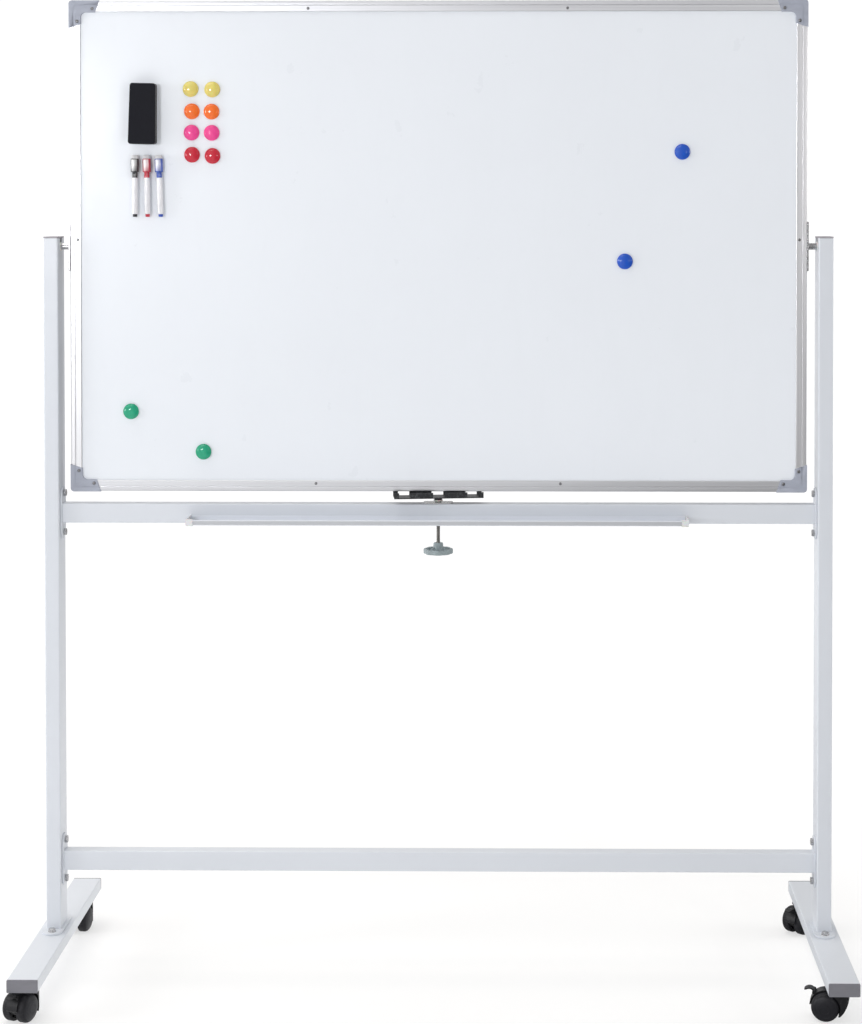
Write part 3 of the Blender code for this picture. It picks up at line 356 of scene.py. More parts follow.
def smooth_group(degrees):
    """Shades smooth, with edges sharper than the angle kept sharp."""
    group = bpy.data.node_groups.new("smooth_by_angle", "GeometryNodeTree")
    group.interface.new_socket("Geometry", in_out="INPUT", socket_type="NodeSocketGeometry")
    group.interface.new_socket("Geometry", in_out="OUTPUT", socket_type="NodeSocketGeometry")
    start, end = group.nodes.new("NodeGroupInput"), group.nodes.new("NodeGroupOutput")
    faces = group.nodes.new("GeometryNodeSetShadeSmooth")
    faces.domain = "FACE"
    faces.inputs["Shade Smooth"].default_value = True
    edges = group.nodes.new("GeometryNodeSetShadeSmooth")
    edges.domain = "EDGE"
    edges.inputs["Shade Smooth"].default_value = False
    angle = group.nodes.new("GeometryNodeInputMeshEdgeAngle")
    compare = group.nodes.new("FunctionNodeCompare")
    compare.data_type, compare.operation = "FLOAT", "GREATER_THAN"
    compare.inputs[1].default_value = math.radians(degrees)
    group.links.new(angle.outputs["Unsigned Angle"], compare.inputs[0])
    group.links.new(compare.outputs[0], edges.inputs["Selection"])
    group.links.new(start.outputs[0], faces.inputs["Geometry"])
    group.links.new(faces.outputs["Geometry"], edges.inputs["Geometry"])
    group.links.new(edges.outputs["Geometry"], end.inputs[0])
    return group


JOIN, SMOOTH = tidy_group(), smooth_group(34)


def dress(names, material, width, segments=2, angle=32):
    """Gives CAD nodes their material and soft, rounded edges."""
    for name in names:
        node = nodes[name]
        node.data.materials.clear()
        node.data.materials.append(M[material])
        join = node.modifiers.new("join", "NODES")
        join.node_group = JOIN
        flat = node.modifiers.new("flat", "DECIMATE")
        flat.decimate_type = "DISSOLVE"
        flat.angle_limit = math.radians(0.6)
        if width:
            bevel = node.modifiers.new("edges", "BEVEL")
            bevel.width = width
            bevel.segments = segments
            bevel.limit_method = "ANGLE"
            bevel.angle_limit = math.radians(angle)
            bevel.use_clamp_overlap = True
        smooth = node.modifiers.new("smooth", "NODES")
        smooth.node_group = SMOOTH
        weigh = node.modifiers.new("weigh", "WEIGHTED_NORMAL")
        weigh.keep_sharp = True


SIDES = ("left", "right")
dress(["writing_surface_front", "writing_surface_rear"], "writing_face", 0.0002, 2)
dress(["board_core"], "board_core", 0.0)
dress(["frame_rail_top", "frame_rail_bottom"], "alu_x", 0.00025)
dress(["frame_rail_left", "frame_rail_right"], "alu_z", 0.00025)
dress([f"pivot_bracket_{s}" for s in SIDES], "zinc_plated_steel", 0.0005)
dress([f"post_{s}" for s in SIDES] + [f"foot_{s}" for s in SIDES], "stand_paint", 0.0004)
dress(["upper_crossbar", "lower_crossbar"], "stand_paint", 0.0004)
dress([f"post_cap_{s}" for s in SIDES], "post_cap_plastic", 0.0007)
dress([f"foot_end_cap_{e}_{s}" for e in ("front", "rear") for s in SIDES], "foot_cap_plastic", 0.0008)
dress([f"pivot_bush_{s}" for s in SIDES] + ["clamp_thrust_washer"], "bush_nylon", 0.0003)
dress(["pen_tray"], "tray_aluminium", 0.0003)
dress([f"tray_end_cap_{s}" for s in SIDES], "tray_cap_plastic", 0.0006)
dress(["clamp_guide_plate"], "zinc_plated_steel", 0.0004)
dress(["clamp_jaw"], "jaw_paint", 0.0004)
dress(
    [f"{b}_crossbar_bolt_{s}_{e}" for b in ("upper", "lower") for s in SIDES for e in ("top", "bottom")],
    "zinc_plated_steel",
    0.0006,
)


# ------------------------------------------------------------------ shapes
def from_bmesh(name, bm):
    bmesh.ops.recalc_face_normals(bm, faces=bm.faces)
    mesh = bpy.data.meshes.new(name)
    bm.to_mesh(mesh)
    bm.free()
    return mesh


def arc(cx, cy, radius, start, stop, steps):
    """Points of an arc, in degrees, ends included."""
    turn = [math.radians(start + (stop - start) * i / steps) for i in range(steps + 1)]
    return [(cx + radius * math.cos(t), cy + radius * math.sin(t)) for t in turn]


PLANES = {  # where an outline's two coordinates and its height go
    "z": lambda u, v, h: (u, v, h),
    "y": lambda u, v, h: (u, h, v),
    "x": lambda u, v, h: (h, u, v),
}


def prism(outline, low, high, axis="z"):
    """A solid with this outline, between two heights along an axis."""
    bm = bmesh.new()
    place = PLANES[axis]
    rings = [[bm.verts.new(place(u, v, h)) for u, v in outline] for h in (low, high)]
    bm.faces.new(rings[0])
    bm.faces.new(rings[1])
    for i in range(len(outline)):
        j = (i + 1) % len(outline)
        bm.faces.new((rings[0][i], rings[0][j], rings[1][j], rings[1][i]))
    return from_bmesh("prism", bm)


def lathe(profile, segments, axis="z", centre=(0, 0, 0), scallop=None):
    """A closed profile of (radius, height) points turned about an axis."""
    bm = bmesh.new()
    place = PLANES[axis]
    rings = []
    for k in range(segments):
        t = 2 * math.pi * k / segments
        ring = []
        for r, h in profile:
            r = r if scallop is None else scallop(r, h, t)
            ring.append(bm.verts.new(place(r * math.cos(t), r * math.sin(t), h)))
        rings.append(ring)
    count = len(profile)
    for k in range(segments):
        a, b = rings[k], rings[(k + 1) % segments]
        for i in range(count):
            j = (i + 1) % count
            bm.faces.new((a[i], a[j], b[j], b[i]))
    bmesh.ops.remove_doubles(bm, verts=bm.verts, dist=1e-7)
    bmesh.ops.dissolve_degenerate(bm, dist=1e-8, edges=bm.edges)
    mesh = from_bmesh("lathe", bm)
    mesh.transform(Matrix.Translation(centre))
    return mesh


def rod(start, end, radius, segments=24):
    start, end = Vector(start), Vector(end)
    bm = bmesh.new()
    bmesh.ops.create_cone(bm, cap_ends=True, segments=segments, radius1=radius, radius2=radius, depth=(end - start).length)
    mesh = from_bmesh("rod", bm)
    turn = Vector((0, 0, 1)).rotation_difference(end - start).to_matrix().to_4x4()
    mesh.transform(Matrix.Translation((start + end) / 2) @ turn)
    return mesh


def moved(mesh, matrix):
    copy = mesh.copy()
    copy.transform(matrix)
    if matrix.determinant() < 0:
        copy.flip_normals()
    return copy


def joined(meshes):
    """Several meshes as one mesh, still separate shells."""
    bm = bmesh.new()
    for mesh in meshes:
        bm.from_mesh(mesh)
    out = bpy.data.meshes.new("joined")
    bm.to_mesh(out)
    bm.free()
    return out


def evaluated(mesh, modifiers):
    """The mesh after these modifiers: a list of (kind, settings)."""
    holder = bpy.data.objects.new("holder", mesh)
    scene.collection.objects.link(holder)
    for kind, settings in modifiers:
        modifier = holder.modifiers.new(kind.lower(), kind)
        for key, value in settings.items():
            setattr(modifier, key, value)
    graph = bpy.context.evaluated_depsgraph_get()
    out = bpy.data.meshes.new_from_object(holder.evaluated_get(graph))
    bpy.data.objects.remove(holder)
    return out


def combined(mesh, steps):
    """Cuts, joins or intersects a mesh with others: steps of (operation, mesh)."""
    tools, modifiers = [], []
    for operation, tool in steps:
        holder = bpy.data.objects.new("tool", tool)
        scene.collection.objects.link(holder)
        tools.append(holder)
        modifiers.append(("BOOLEAN", {"object": holder, "operation": operation, "solver": "EXACT"}))
    out = evaluated(mesh, modifiers)
    for holder in tools:
        bpy.data.objects.remove(holder)
    return out


def softened(mesh, width=0.0005, segments=2, angle=32, smooth=38):
    """Rounded edges and clean shading."""
    steps = [("WELD", {"merge_threshold": 1e-6})]
    if width:
        steps.append(("DECIMATE", {"decimate_type": "DISSOLVE", "angle_limit": math.radians(0.4)}))
        steps.append(
            (
                "BEVEL",
                {
                    "width": width,
                    "segments": segments,
                    "limit_method": "ANGLE",
                    "angle_limit": math.radians(angle),
                    "use_clamp_overlap": True,
                },
            )
        )
    out = evaluated(mesh, steps)
    out.shade_smooth()
    out.set_sharp_from_angle(angle=math.radians(smooth))
    return evaluated(out, [("WEIGHTED_NORMAL", {"keep_sharp": True})])


def piece(name, mesh, material, body, matrix=None, stands_for=()):
    """A visible piece of the object, riding on a CAD body."""
    mesh = mesh.copy()
    mesh.name = name
    mesh.materials.clear()
    mesh.materials.append(M[material])
    obj = bpy.data.objects.new(name, mesh)
    scene.collection.objects.link(obj)
    if matrix is not None:
        obj.matrix_world = matrix
    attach(obj, body)
    if stands_for:
        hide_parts(*stands_for)
    return obj


def hexagon(across, phase=0.0):
    r = across / math.sqrt(3)
    return [(r * math.cos(phase + math.radians(60 * i)), r * math.sin(phase + math.radians(60 * i))) for i in range(6)]


def hex_head(across, height, washer):
    """A hexagon bolt head standing on z = 0, with chamfered corners and a washer under it."""
    head = prism(hexagon(across), 0.0012, height)
    top = lathe([(0, 0.0), (across * 0.60, 0.0), (across * 0.60, height - 0.0012), (across * 0.47, height), (0, height)], 48)
    head = combined(head, [("INTERSECT", top)])
    ring = lathe([(0, 0), (washer - 0.0002, 0), (washer, 0.0002), (washer, 0.0009), (washer - 0.0003, 0.0012), (0, 0.0012)], 48)
    return softened(combined(head, [("UNION", ring)]), 0.0002, 2)


def cross_screw(radius, height):
    """A pan-head screw standing on z = 0, with a cross recess."""
    profile = [(0, -0.0006), (radius * 0.8, -0.0006), (radius, 0.0)]
    profile += [(radius * math.cos(t), height * math.sin(t)) for t in [math.radians(a) for a in (12, 28, 44, 60, 76)]]
    profile += [(0, height)]
    head = lathe(profile, 28)
    arm, deep = radius * 0.62, height * 0.42
    cutters = []
    for turn in (0, 90):
        slot = [(-arm, -radius * 0.13), (arm, -radius * 0.13), (arm, radius * 0.13), (-arm, radius * 0.13)]
        cutters.append(("DIFFERENCE", moved(prism(slot, deep, height * 2), Matrix.Rotation(math.radians(turn + 20), 4, "Z"))))
    return softened(combined(head, cutters), 0.00008, 1)


FORWARD = Matrix.Rotation(math.radians(90), 4, "X")  # z of a fitting points to -Y, out of the front
BACKWARD = Matrix.Rotation(math.radians(-90), 4, "X")


def at(x, y, z, turn=None):
    return Matrix.Translation((x, y, z)) @ (turn or Matrix.Identity(4))


# ------------------------------------------------------------------ board: corner caps
cap_low, cap_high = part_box("corner_cap_bottom_left")
CAP_W, CAP_ARM_X, CAP_ARM_Z, CAP_HALF = 0.0248, 0.0625, 0.0565, cap_high.y


def l_outline(inset, width, arm_x, arm_z, slant, outer, inner):
    """An L whose outer corner is near the origin; u runs along the horizontal arm and v up the other."""
    o, w = inset, inset + width
    points = [(arm_x, o), (arm_x - slant * (width / CAP_W), w)]
    points += [(u, v) for u, v in arc(w + inner, w + inner, inner, 270, 180, 10)]
    points += [(w, arm_z - slant * (width / CAP_W)), (o, arm_z)]
    points += [(u, v) for u, v in arc(o + outer, o + outer, outer, 180, 270, 12)]
    return points


cap = prism(l_outline(0.0, CAP_W, CAP_ARM_X, CAP_ARM_Z, 0.0085, 0.0075, 0.0105), -CAP_HALF, CAP_HALF, "y")
cap = softened(cap, 0.0011, 3)
groove_line = l_outline(0.0092, 0.0013, 0.10, 0.10, 0.0, 0.0072, 0.0059)
cuts = []
for sign in (-1, 1):
    low, high = sorted((sign * (CAP_HALF - 0.0007), sign * (CAP_HALF + 0.002)))
    cuts.append(("DIFFERENCE", prism(groove_line, low, high, "y")))
    low, high = sorted((sign * (CAP_HALF - 0.0005), sign * (CAP_HALF + 0.002)))
    for u, v in ((0.0480, 0.0172), (0.0172, 0.0428)):
        cuts.append(("DIFFERENCE", rod((u, low, v), (u, high, v), 0.0043, 28)))
cap = softened(combined(cap, cuts), 0.0, 2)

board_screw = cross_screw(0.0034, 0.0013)
for top in ("top", "bottom"):
    for side in SIDES:
        low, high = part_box(f"corner_cap_{top}_{side}")
        sx, sz = (1 if side == "left" else -1), (1 if top == "bottom" else -1)
        origin = (low.x if side == "left" else high.x, 0, low.z if top == "bottom" else high.z)
        place = Matrix.Translation(origin) @ Matrix.Diagonal((sx, 1, sz, 1))
        name = f"corner_cap_{top}_{side}"
        piece(f"{name}_moulding", moved(cap, place), "corner_cap_plastic", "board", None, (name,))
        screws = []
        for u, v in ((0.0480, 0.0172), (0.0172, 0.0428)):
            p = place @ Vector((u, 0, v))
            screws.append(moved(board_screw, at(p.x, -CAP_HALF + 0.0005, p.z, FORWARD @ Matrix.Rotation(u * 40, 4, "Z"))))
            screws.append(moved(board_screw, at(p.x, CAP_HALF - 0.0005, p.z, BACKWARD @ Matrix.Rotation(v * 50, 4, "Z"))))
        piece(f"corner_screws_{top}_{side}", joined(screws), "screw_steel", "board")

# rail screws, on both faces: two in each long rail and one in each side rail at the pivots
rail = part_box("frame_rail_top")[1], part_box("frame_rail_left")[0]
inner = 0.0157
spots = {
    "top": [(x, rail[0].z - inner) for x in (-0.263, 0.263)],
    "bottom": [(x, rail[1].z + inner) for x in (-0.249, 0.249)],
    "left": [(rail[1].x + inner, 1.4985)],
    "right": [(-rail[1].x - inner, 1.4985)],
}
small_screw = cross_screw(0.0030, 0.0012)
for side, places in spots.items():
    fixings = []
    for x, z in places:
        fixings.append(moved(small_screw, at(x, -0.0097, z, FORWARD @ Matrix.Rotation(0.6, 4, "Z"))))
        fixings.append(moved(small_screw, at(x, 0.0097, z, BACKWARD @ Matrix.Rotation(0.2, 4, "Z"))))
    piece(f"rail_screws_{side}", joined(fixings), "screw_steel", "board")

# ------------------------------------------------------------------ stand: bolts through the post flanges
bolt = hex_head(0.0128, 0.0062, 0.0082)
for side in SIDES:
    low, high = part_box(f"post_{side}")
    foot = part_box(f"foot_{side}")[1]
    x, top = (low.x + high.x) / 2, low.z + 0.0040
    heads = [moved(bolt, at(x, y, top, Matrix.Rotation(0.3 + y * 9, 4, "Z"))) for y in (-0.046, 0.046)]
    piece(f"foot_bolts_{side}", joined(heads), "zinc_plated_steel", "stand")

# ------------------------------------------------------------------ clamp: threaded spindle and knob
spindle_low, spindle_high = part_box("clamp_spindle")
knob_low, knob_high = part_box("clamp_knob")
THREAD_PITCH, THREAD_R = 0.00125, 0.0038


def threaded_rod(low, high, radius, pitch, segments=24):
    """A real helical thread: each ring's radius follows the turn of the screw."""
    steps = int((high - low) / (pitch / 6))
    bm = bmesh.new()
    rings = []
    for i in range(steps + 1):
        z = low + (high - low) * i / steps
        ring = []
        for k in range(segments):
            t = k / segments
            phase = (z / pitch - t) % 1.0
            depth = 0.00062 * abs(2 * phase - 1)
            fade = min(1.0, (z - low) / 0.0008, (high - z) / 0.0008)
            r = radius - depth * max(fade, 0.0) - 0.0004 * (1 - max(fade, 0.0))
            ring.append(bm.verts.new((r * math.cos(2 * math.pi * t), r * math.sin(2 * math.pi * t), z)))
        rings.append(ring)
    bm.faces.new(rings[0])
    bm.faces.new(rings[-1])
    for a, b in zip(rings, rings[1:]):
        for k in range(segments):
            j = (k + 1) % segments
            bm.faces.new((a[k], a[j], b[j], b[k]))
    mesh = from_bmesh("thread", bm)
    mesh.shade_smooth()
    mesh.set_sharp_from_angle(angle=math.radians(50))
    return mesh


thread = threaded_rod(spindle_low.z, 0.9640, THREAD_R, THREAD_PITCH)
collar = lathe([(0, 0.9637), (0.0060, 0.9637), (0.0065, 0.9641), (0.0065, 0.9651), (0.0061, 0.9655), (0, 0.9655)], 40)
neck = lathe([(0, 0.9652), (0.0037, 0.9652), (0.0037, spindle_high.z - 0.0004), (0.0033, spindle_high.z), (0, spindle_high.z)], 32)
piece("clamp_spindle_thread", joined([thread, softened(collar, 0.0, 2), softened(neck, 0.0, 2)]), "spindle_steel", "clamp_screw", None, ("clamp_spindle",))

RIM_LOW, RIM_HIGH, HUB_TOP = knob_low.z, 0.8680, knob_high.z


def lobes(count, depth):
    return lambda r, h, t: r - (depth * (0.5 - 0.5 * math.cos(count * t)) ** 1.6 if r > 0.025 else 0.0)


rim_profile = [
    (0.0240, RIM_LOW + 0.0006),
    (0.0250, RIM_LOW),
    (0.0284, RIM_LOW),
    (0.0296, RIM_LOW + 0.0008),
    (0.0300, RIM_LOW + 0.0022),
    (0.0300, RIM_HIGH - 0.0022),
    (0.0296, RIM_HIGH - 0.0008),
    (0.0284, RIM_HIGH),
    (0.0250, RIM_HIGH),
    (0.0240, RIM_HIGH - 0.0006),
]
rim = lathe(rim_profile, 128, scallop=lobes(8, 0.0022))
web = lathe([(0, RIM_LOW + 0.0012), (0.0246, RIM_LOW + 0.0012), (0.0246, RIM_LOW + 0.0046), (0, RIM_LOW + 0.0046)], 96)
windows = []
for k in range(5):
    a = 72 * k
    outline = arc(0, 0, 0.0222, a + 12, a + 60, 10) + arc(0, 0, 0.0128, a + 60, a + 12, 10)
    windows.append(("DIFFERENCE", prism(outline, RIM_LOW - 0.002, RIM_LOW + 0.008)))
web = softened(combined(web, windows), 0.0005, 2)
hub_profile = [
    (0, RIM_LOW + 0.0006),
    (0.0092, RIM_LOW + 0.0006),
    (0.0100, RIM_LOW + 0.0014),
    (0.0104, RIM_HIGH),
    (0.0098, HUB_TOP - 0.0010),
    (0.0088, HUB_TOP),
    (0.0046, HUB_TOP),
    (0.0044, HUB_TOP - 0.0006),
    (0, HUB_TOP - 0.0006),
]
hub = lathe(hub_profile, 96, scallop=lambda r, h, t: r - (0.0009 * (0.5 - 0.5 * math.cos(6 * t)) if r > 0.008 else 0))
spokes = []
for k in range(5):
    a = math.radians(72 * k)
    rib = [(0.0070, RIM_LOW + 0.0040), (0.0250, RIM_LOW + 0.0040), (0.0250, RIM_LOW + 0.0062), (0.0095, RIM_HIGH + 0.0030), (0.0070, RIM_HIGH + 0.0030)]
    spokes.append(moved(softened(prism(rib, -0.0012, 0.0012, "y"), 0.0004, 2), Matrix.Rotation(a, 4, "Z")))
piece(
    "clamp_knob_handwheel",
    joined([softened(rim, 0.0, 2, smooth=45), web, softened(hub, 0.0, 2, smooth=45)] + spokes),
    "knob_plastic",
    "clamp_screw",
    None,
    ("clamp_knob",),
)

# ------------------------------------------------------------------ casters
TRAIL = 0.028
AXLE_Z = joints["roll_front_left_a"]["pos_m"][2]
HOOD_HALF, HOOD_R, FENDER_HALF, WEB_HALF = 0.0248, 0.0307, 0.0118, 0.0055
LEVER_PIVOT = (TRAIL + 0.0222, AXLE_Z + 0.0248)
STEM_TOP = 0.0626


def caster_hood():
    r, a = TRAIL, AXLE_Z
    side = arc(r, a, HOOD_R, 4, 98, 40)
    side += [(0.0140, 0.0575), (0.0090, 0.0598), (0.0000, 0.0603), (-0.0080, 0.0598), (-0.0130, 0.0575), (-0.0160, 0.0525)]
    side += [(-0.0171, 0.0470), (-0.0171, 0.0420), (-0.0158, 0.0355), (-0.0126, 0.0275), (-0.0082, 0.0202), (-0.0038, 0.0154)]
    side += [(-0.0005, 0.0126), (0.0035, 0.0128), (0.0160, 0.0145), (0.0280, 0.0130), (0.0400, 0.0150), (0.0500, 0.0205)]
    plan = [(0.0085 + x, y * HOOD_HALF / 0.0262) for x, y in arc(0.0, 0.0, 0.0262, 90, 270, 36)]
    plan += [(0.0130, -HOOD_HALF), (0.0163, -0.0232), (0.0188, -0.0185), (0.0205, -0.0135), (0.0235, -FENDER_HALF), (0.07, -FENDER_HALF)]
    plan += [(0.07, FENDER_HALF), (0.0235, FENDER_HALF), (0.0205, 0.0135), (0.0188, 0.0185), (0.0163, 0.0232), (0.0130, HOOD_HALF)]
    body = prism(side, -HOOD_HALF - 0.001, HOOD_HALF + 0.001, "y")
    body = combined(body, [("INTERSECT", prism(plan, -0.1, 0.1))])
    body = softened(body, 0.0016, 3, angle=42)
    steps = []
    for s in (1, -1):
        steps.append(("DIFFERENCE", rod((r, s * WEB_HALF, a), (r, s * 0.05, a), HOOD_R - 0.0017, 72)))
        x, z = LEVER_PIVOT
        steps.append(("UNION", rod((x, s * 0.0086, z), (x, s * 0.0110, z), 0.0036, 28)))
        steps.append(("DIFFERENCE", rod((x, s * 0.0084, z), (x, s * 0.02, z), 0.0018, 20)))
        steps.append(("DIFFERENCE", rod((-0.0035, s * 0.0120, 0.045), (-0.03, s * 0.0120, 0.045), 0.0016, 16)))
    body = combined(body, steps)
    return softened(body, 0.0003, 2, angle=40)


def caster_stem():
    profile = [(0, 0.0570), (0.0112, 0.0570), (0.0115, 0.0573), (0.0115, STEM_TOP - 0.0006), (0.0109, STEM_TOP)]
    profile += [(0.0058, STEM_TOP), (0.0055, STEM_TOP + 0.0003), (0.0055, 0.0820), (0.0047, 0.0829), (0, 0.0829)]
    return softened(lathe(profile, 40), 0.0, 2)


def caster_axle():
    profile = [(0, -0.0250), (0.0024, -0.0250), (0.0030, -0.0244), (0.0030, 0.0244), (0.0024, 0.0250), (0, 0.0250)]
    return softened(lathe(profile, 32, "y"), 0.0, 2)


def wheel_tyre(s):
    """The soft outer ring with a rounded shoulder; s is the side of the caster it is on."""
    profile = [(0.0216, 0.0068), (0.0248, 0.0066), (0.0261, 0.0069), (0.0268, 0.0075), (0.0272, 0.0088), (0.0272, 0.0176)]
    profile += [(0.0270, 0.0190), (0.0265, 0.0205), (0.0257, 0.0219), (0.0248, 0.0231), (0.0236, 0.0240), (0.0233, 0.0236), (0.0216, 0.0236)]
    return softened(lathe([(r, s * y) for r, y in profile], 96, "y"), 0.0, 2, smooth=42)


def wheel_hub(s):
    """The hard centre: a closed domed cover outside with two fine rings, and an open inner side with ribs."""
    profile = [(0.0034, 0.0070), (0.0080, 0.0070), (0.0080, 0.0110), (0.0199, 0.0120), (0.0214, 0.0074), (0.0218, 0.0074)]
    profile += [(0.0218, 0.0238), (0.0232, 0.0240), (0.0234, 0.0244), (0.0225, 0.0251), (0.0212, 0.0258), (0.0197, 0.0264)]
    profile += [(0.0180, 0.0269), (0.0176, 0.0267), (0.0171, 0.0271), (0.0148, 0.0276), (0.0122, 0.0280), (0.0095, 0.0282)]
    profile += [(0.0091, 0.0279), (0.0087, 0.0283), (0.0050, 0.0284), (0, 0.0285), (0, 0.0262), (0.0034, 0.0260)]
    parts = [softened(lathe([(r, s * y) for r, y in profile], 96, "y"), 0.0, 2, smooth=30)]
    for k in range(6):
        rib = [(0.0076, 0.0082), (0.0215, 0.0088), (0.0215, 0.0125), (0.0076, 0.0125)]
        rib = [(x, s * y) for x, y in rib]
        blade = prism(rib, -0.0006, 0.0006, "z")
        parts.append(moved(softened(blade, 0.0002, 1), Matrix.Rotation(math.radians(60 * k + 15), 4, "Y")))
    return joined(parts)


def brake_pedal():
    """A curved pedal about its pin, with raised grip ribs."""
    upper = [(-0.0024, 0.0006), (-0.0020, 0.0019), (-0.0012, 0.0030), (0.0000, 0.0044), (0.0015, 0.0056), (0.0034, 0.0067)]
    upper += [(0.0055, 0.0074), (0.0080, 0.0077), (0.0105, 0.0076), (0.0132, 0.0070), (0.0155, 0.0060), (0.0176, 0.0049), (0.0190, 0.0040)]
    lower = [(0.0186, 0.0018), (0.0168, 0.0025), (0.0148, 0.0034), (0.0127, 0.0043), (0.0105, 0.0048), (0.0084, 0.0050), (0.0065, 0.0048)]
    lower += [(0.0050, 0.0043), (0.0038, 0.0034), (0.0030, 0.0019), (0.0024, 0.0004), (0.0012, -0.0016), (-0.0012, -0.0016)]
    pedal = prism(upper + lower, -0.0081, 0.0081, "y")
    plan = [(-0.01, -0.0081), (0.0135, -0.0081)] + arc(0.0135, -0.0026, 0.0055, 270, 360, 10)
    plan += arc(0.0135, 0.0026, 0.0055, 0, 90, 10) + [(0.0135, 0.0081), (-0.01, 0.0081)]
    pedal = combined(pedal, [("INTERSECT", prism(plan, -0.05, 0.05))])
    pedal = softened(pedal, 0.0005, 2, angle=40)
    parts = [pedal, softened(rod((0, -0.0107, 0), (0, 0.0107, 0), 0.0014, 20), 0.0002, 2)]
    for x, z in ((0.0062, 0.0072), (0.0088, 0.0073), (0.0114, 0.0071), (0.0140, 0.0063)):
        parts.append(softened(rod((x, -0.0060, z), (x, 0.0060, z), 0.0005, 12), 0.0002, 2))
    return joined(parts)


hood, stem, axle, pedal = caster_hood(), caster_stem(), caster_axle(), brake_pedal()
tyres = {"a": wheel_tyre(1), "b": wheel_tyre(-1)}
hubs = {"a": wheel_hub(1), "b": wheel_hub(-1)}
for corner in CORNERS:
    axis = joints[f"roll_{corner}_a"]["axis"]
    x, y, _ = joints[f"swivel_{corner}"]["pos_m"]
    yaw = math.atan2(-axis[0], axis[1])
    place = at(x, y, 0, Matrix.Rotation(yaw, 4, "Z"))
    on_axle = place @ Matrix.Translation((TRAIL, 0, AXLE_Z))
    body = f"caster_{corner}"
    piece(f"caster_hood_{corner}", hood, "caster_plastic", body, place, (f"caster_housing_{corner}",))
    piece(f"caster_stem_{corner}", stem, "zinc_plated_steel", body, place)
    piece(f"caster_axle_{corner}", axle, "zinc_plated_steel", body, on_axle)
    for k in "ab":
        wheel = f"wheel_{corner}_{k}"
        piece(f"caster_hub_{corner}_{k}", hubs[k], "wheel_hub", wheel, on_axle)
        piece(f"caster_tread_{corner}_{k}", tyres[k], "wheel_tyre", wheel, on_axle, (f"caster_wheel_{corner}_{k}",))
    pin = place @ Matrix.Translation((LEVER_PIVOT[0], 0, LEVER_PIVOT[1]))
    piece(f"brake_pedal_{corner}", pedal, "caster_plastic", f"brake_{corner}", pin, (f"brake_lever_{corner}",))

# ------------------------------------------------------------------ accessories held on the front face
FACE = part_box("writing_surface_front")[0].y


def button_magnet():
    profile = [(0, 0), (0.0152, 0), (0.0158, 0.0005), (0.0160, 0.0012), (0.0160, 0.0026), (0.0157, 0.0034), (0.0150, 0.0039)]
    profile += [(0.0142, 0.0041), (0.0137, 0.0042), (0.0134, 0.0046), (0.0130, 0.0052), (0.0118, 0.0062), (0.0100, 0.0070)]
    profile += [(0.0078, 0.0076), (0.0054, 0.0080), (0.0028, 0.0082), (0, 0.0083)]
    return softened(lathe(profile, 72), 0.0, 2, smooth=34)


magnet = button_magnet()
MAGNET_COLOURS = {
    "yellow": (0.760, 0.640, 0.170),
    "orange": (0.900, 0.165, 0.020),
    "pink": (0.860, 0.065, 0.300),
    "red": (0.560, 0.018, 0.040),
    "blue": (0.010, 0.085, 0.520),
    "green": (0.016, 0.360, 0.200),
}
MAGNETS = [
    ("yellow", -0.5025, 1.8050),
    ("yellow", -0.4584, 1.8041),
    ("orange", -0.5000, 1.7597),
    ("orange", -0.4600, 1.7591),
    ("pink", -0.5008, 1.7165),
    ("pink", -0.4597, 1.7161),
    ("red", -0.4999, 1.6716),
    ("red", -0.4582, 1.6692),
    ("blue", 0.4961, 1.6770),
    ("blue", 0.3799, 1.4547),
    ("green", -0.6263, 1.1486),
    ("green", -0.4785, 1.0663),
]
for colour, value in MAGNET_COLOURS.items():
    M[f"magnet_{colour}"] = glossy(f"magnet_{colour}_plastic", value, 0.25 if colour == "yellow" else 0.0)
for index, (colour, x, z) in enumerate(MAGNETS):
    place = at(x, FACE - 0.0001, z, FORWARD @ Matrix.Rotation(index * 0.7, 4, "Z"))
    piece(f"magnet_{colour}_{index + 1:02d}", magnet, f"magnet_{colour}", "board", place)

# markers: white barrel, coloured neck, cap with a clip and a felt tip for erasing
BARREL_R = 0.0062
barrel = softened(
    lathe([(0, 0.0056), (0.0050, 0.0056), (0.0059, 0.0060), (BARREL_R, 0.0070), (BARREL_R, 0.0792), (0.0060, 0.0796), (0, 0.0796)], 40), 0.0, 2
)
plug = softened(lathe([(0, 0.0), (0.0036, 0.0), (0.0044, 0.0006), (0.0046, 0.0014), (0.0046, 0.0056), (0, 0.0056)], 36), 0.0, 2)
neck_part = softened(lathe([(0, 0.0796), (0.0056, 0.0796), (0.0056, 0.0906), (0.0054, 0.0912), (0, 0.0912)], 40), 0.0, 2)
cap_profile = [(0, 0.0908), (0.0070, 0.0908), (0.0080, 0.0913), (0.0084, 0.0922), (0.0084, 0.1166), (0.0080, 0.1178), (0.0074, 0.1182), (0, 0.1182)]
flutes = lambda r, h, t: r - (0.00025 * (0.5 - 0.5 * math.cos(14 * t)) if r > 0.0078 else 0.0)
cap_part = softened(lathe(cap_profile, 84, scallop=flutes), 0.0, 2)
tip = softened(lathe([(0, 0.1182), (0.0071, 0.1182), (0.0073, 0.1190), (0.0072, 0.1240), (0.0064, 0.1254), (0.0040, 0.1259), (0, 0.1260)], 40), 0.0, 2)
clip_side = [(0.0080, 0.1165), (0.0080, 0.1145), (0.0094, 0.1138), (0.0094, 0.0900), (0.0088, 0.0885), (0.0088, 0.0868), (0.0098, 0.0872), (0.0108, 0.0900), (0.0108, 0.1150), (0.0100, 0.1165)]
clip = softened(prism([(-x, z) for x, z in clip_side], -0.0020, 0.0020, "x"), 0.0003, 2)
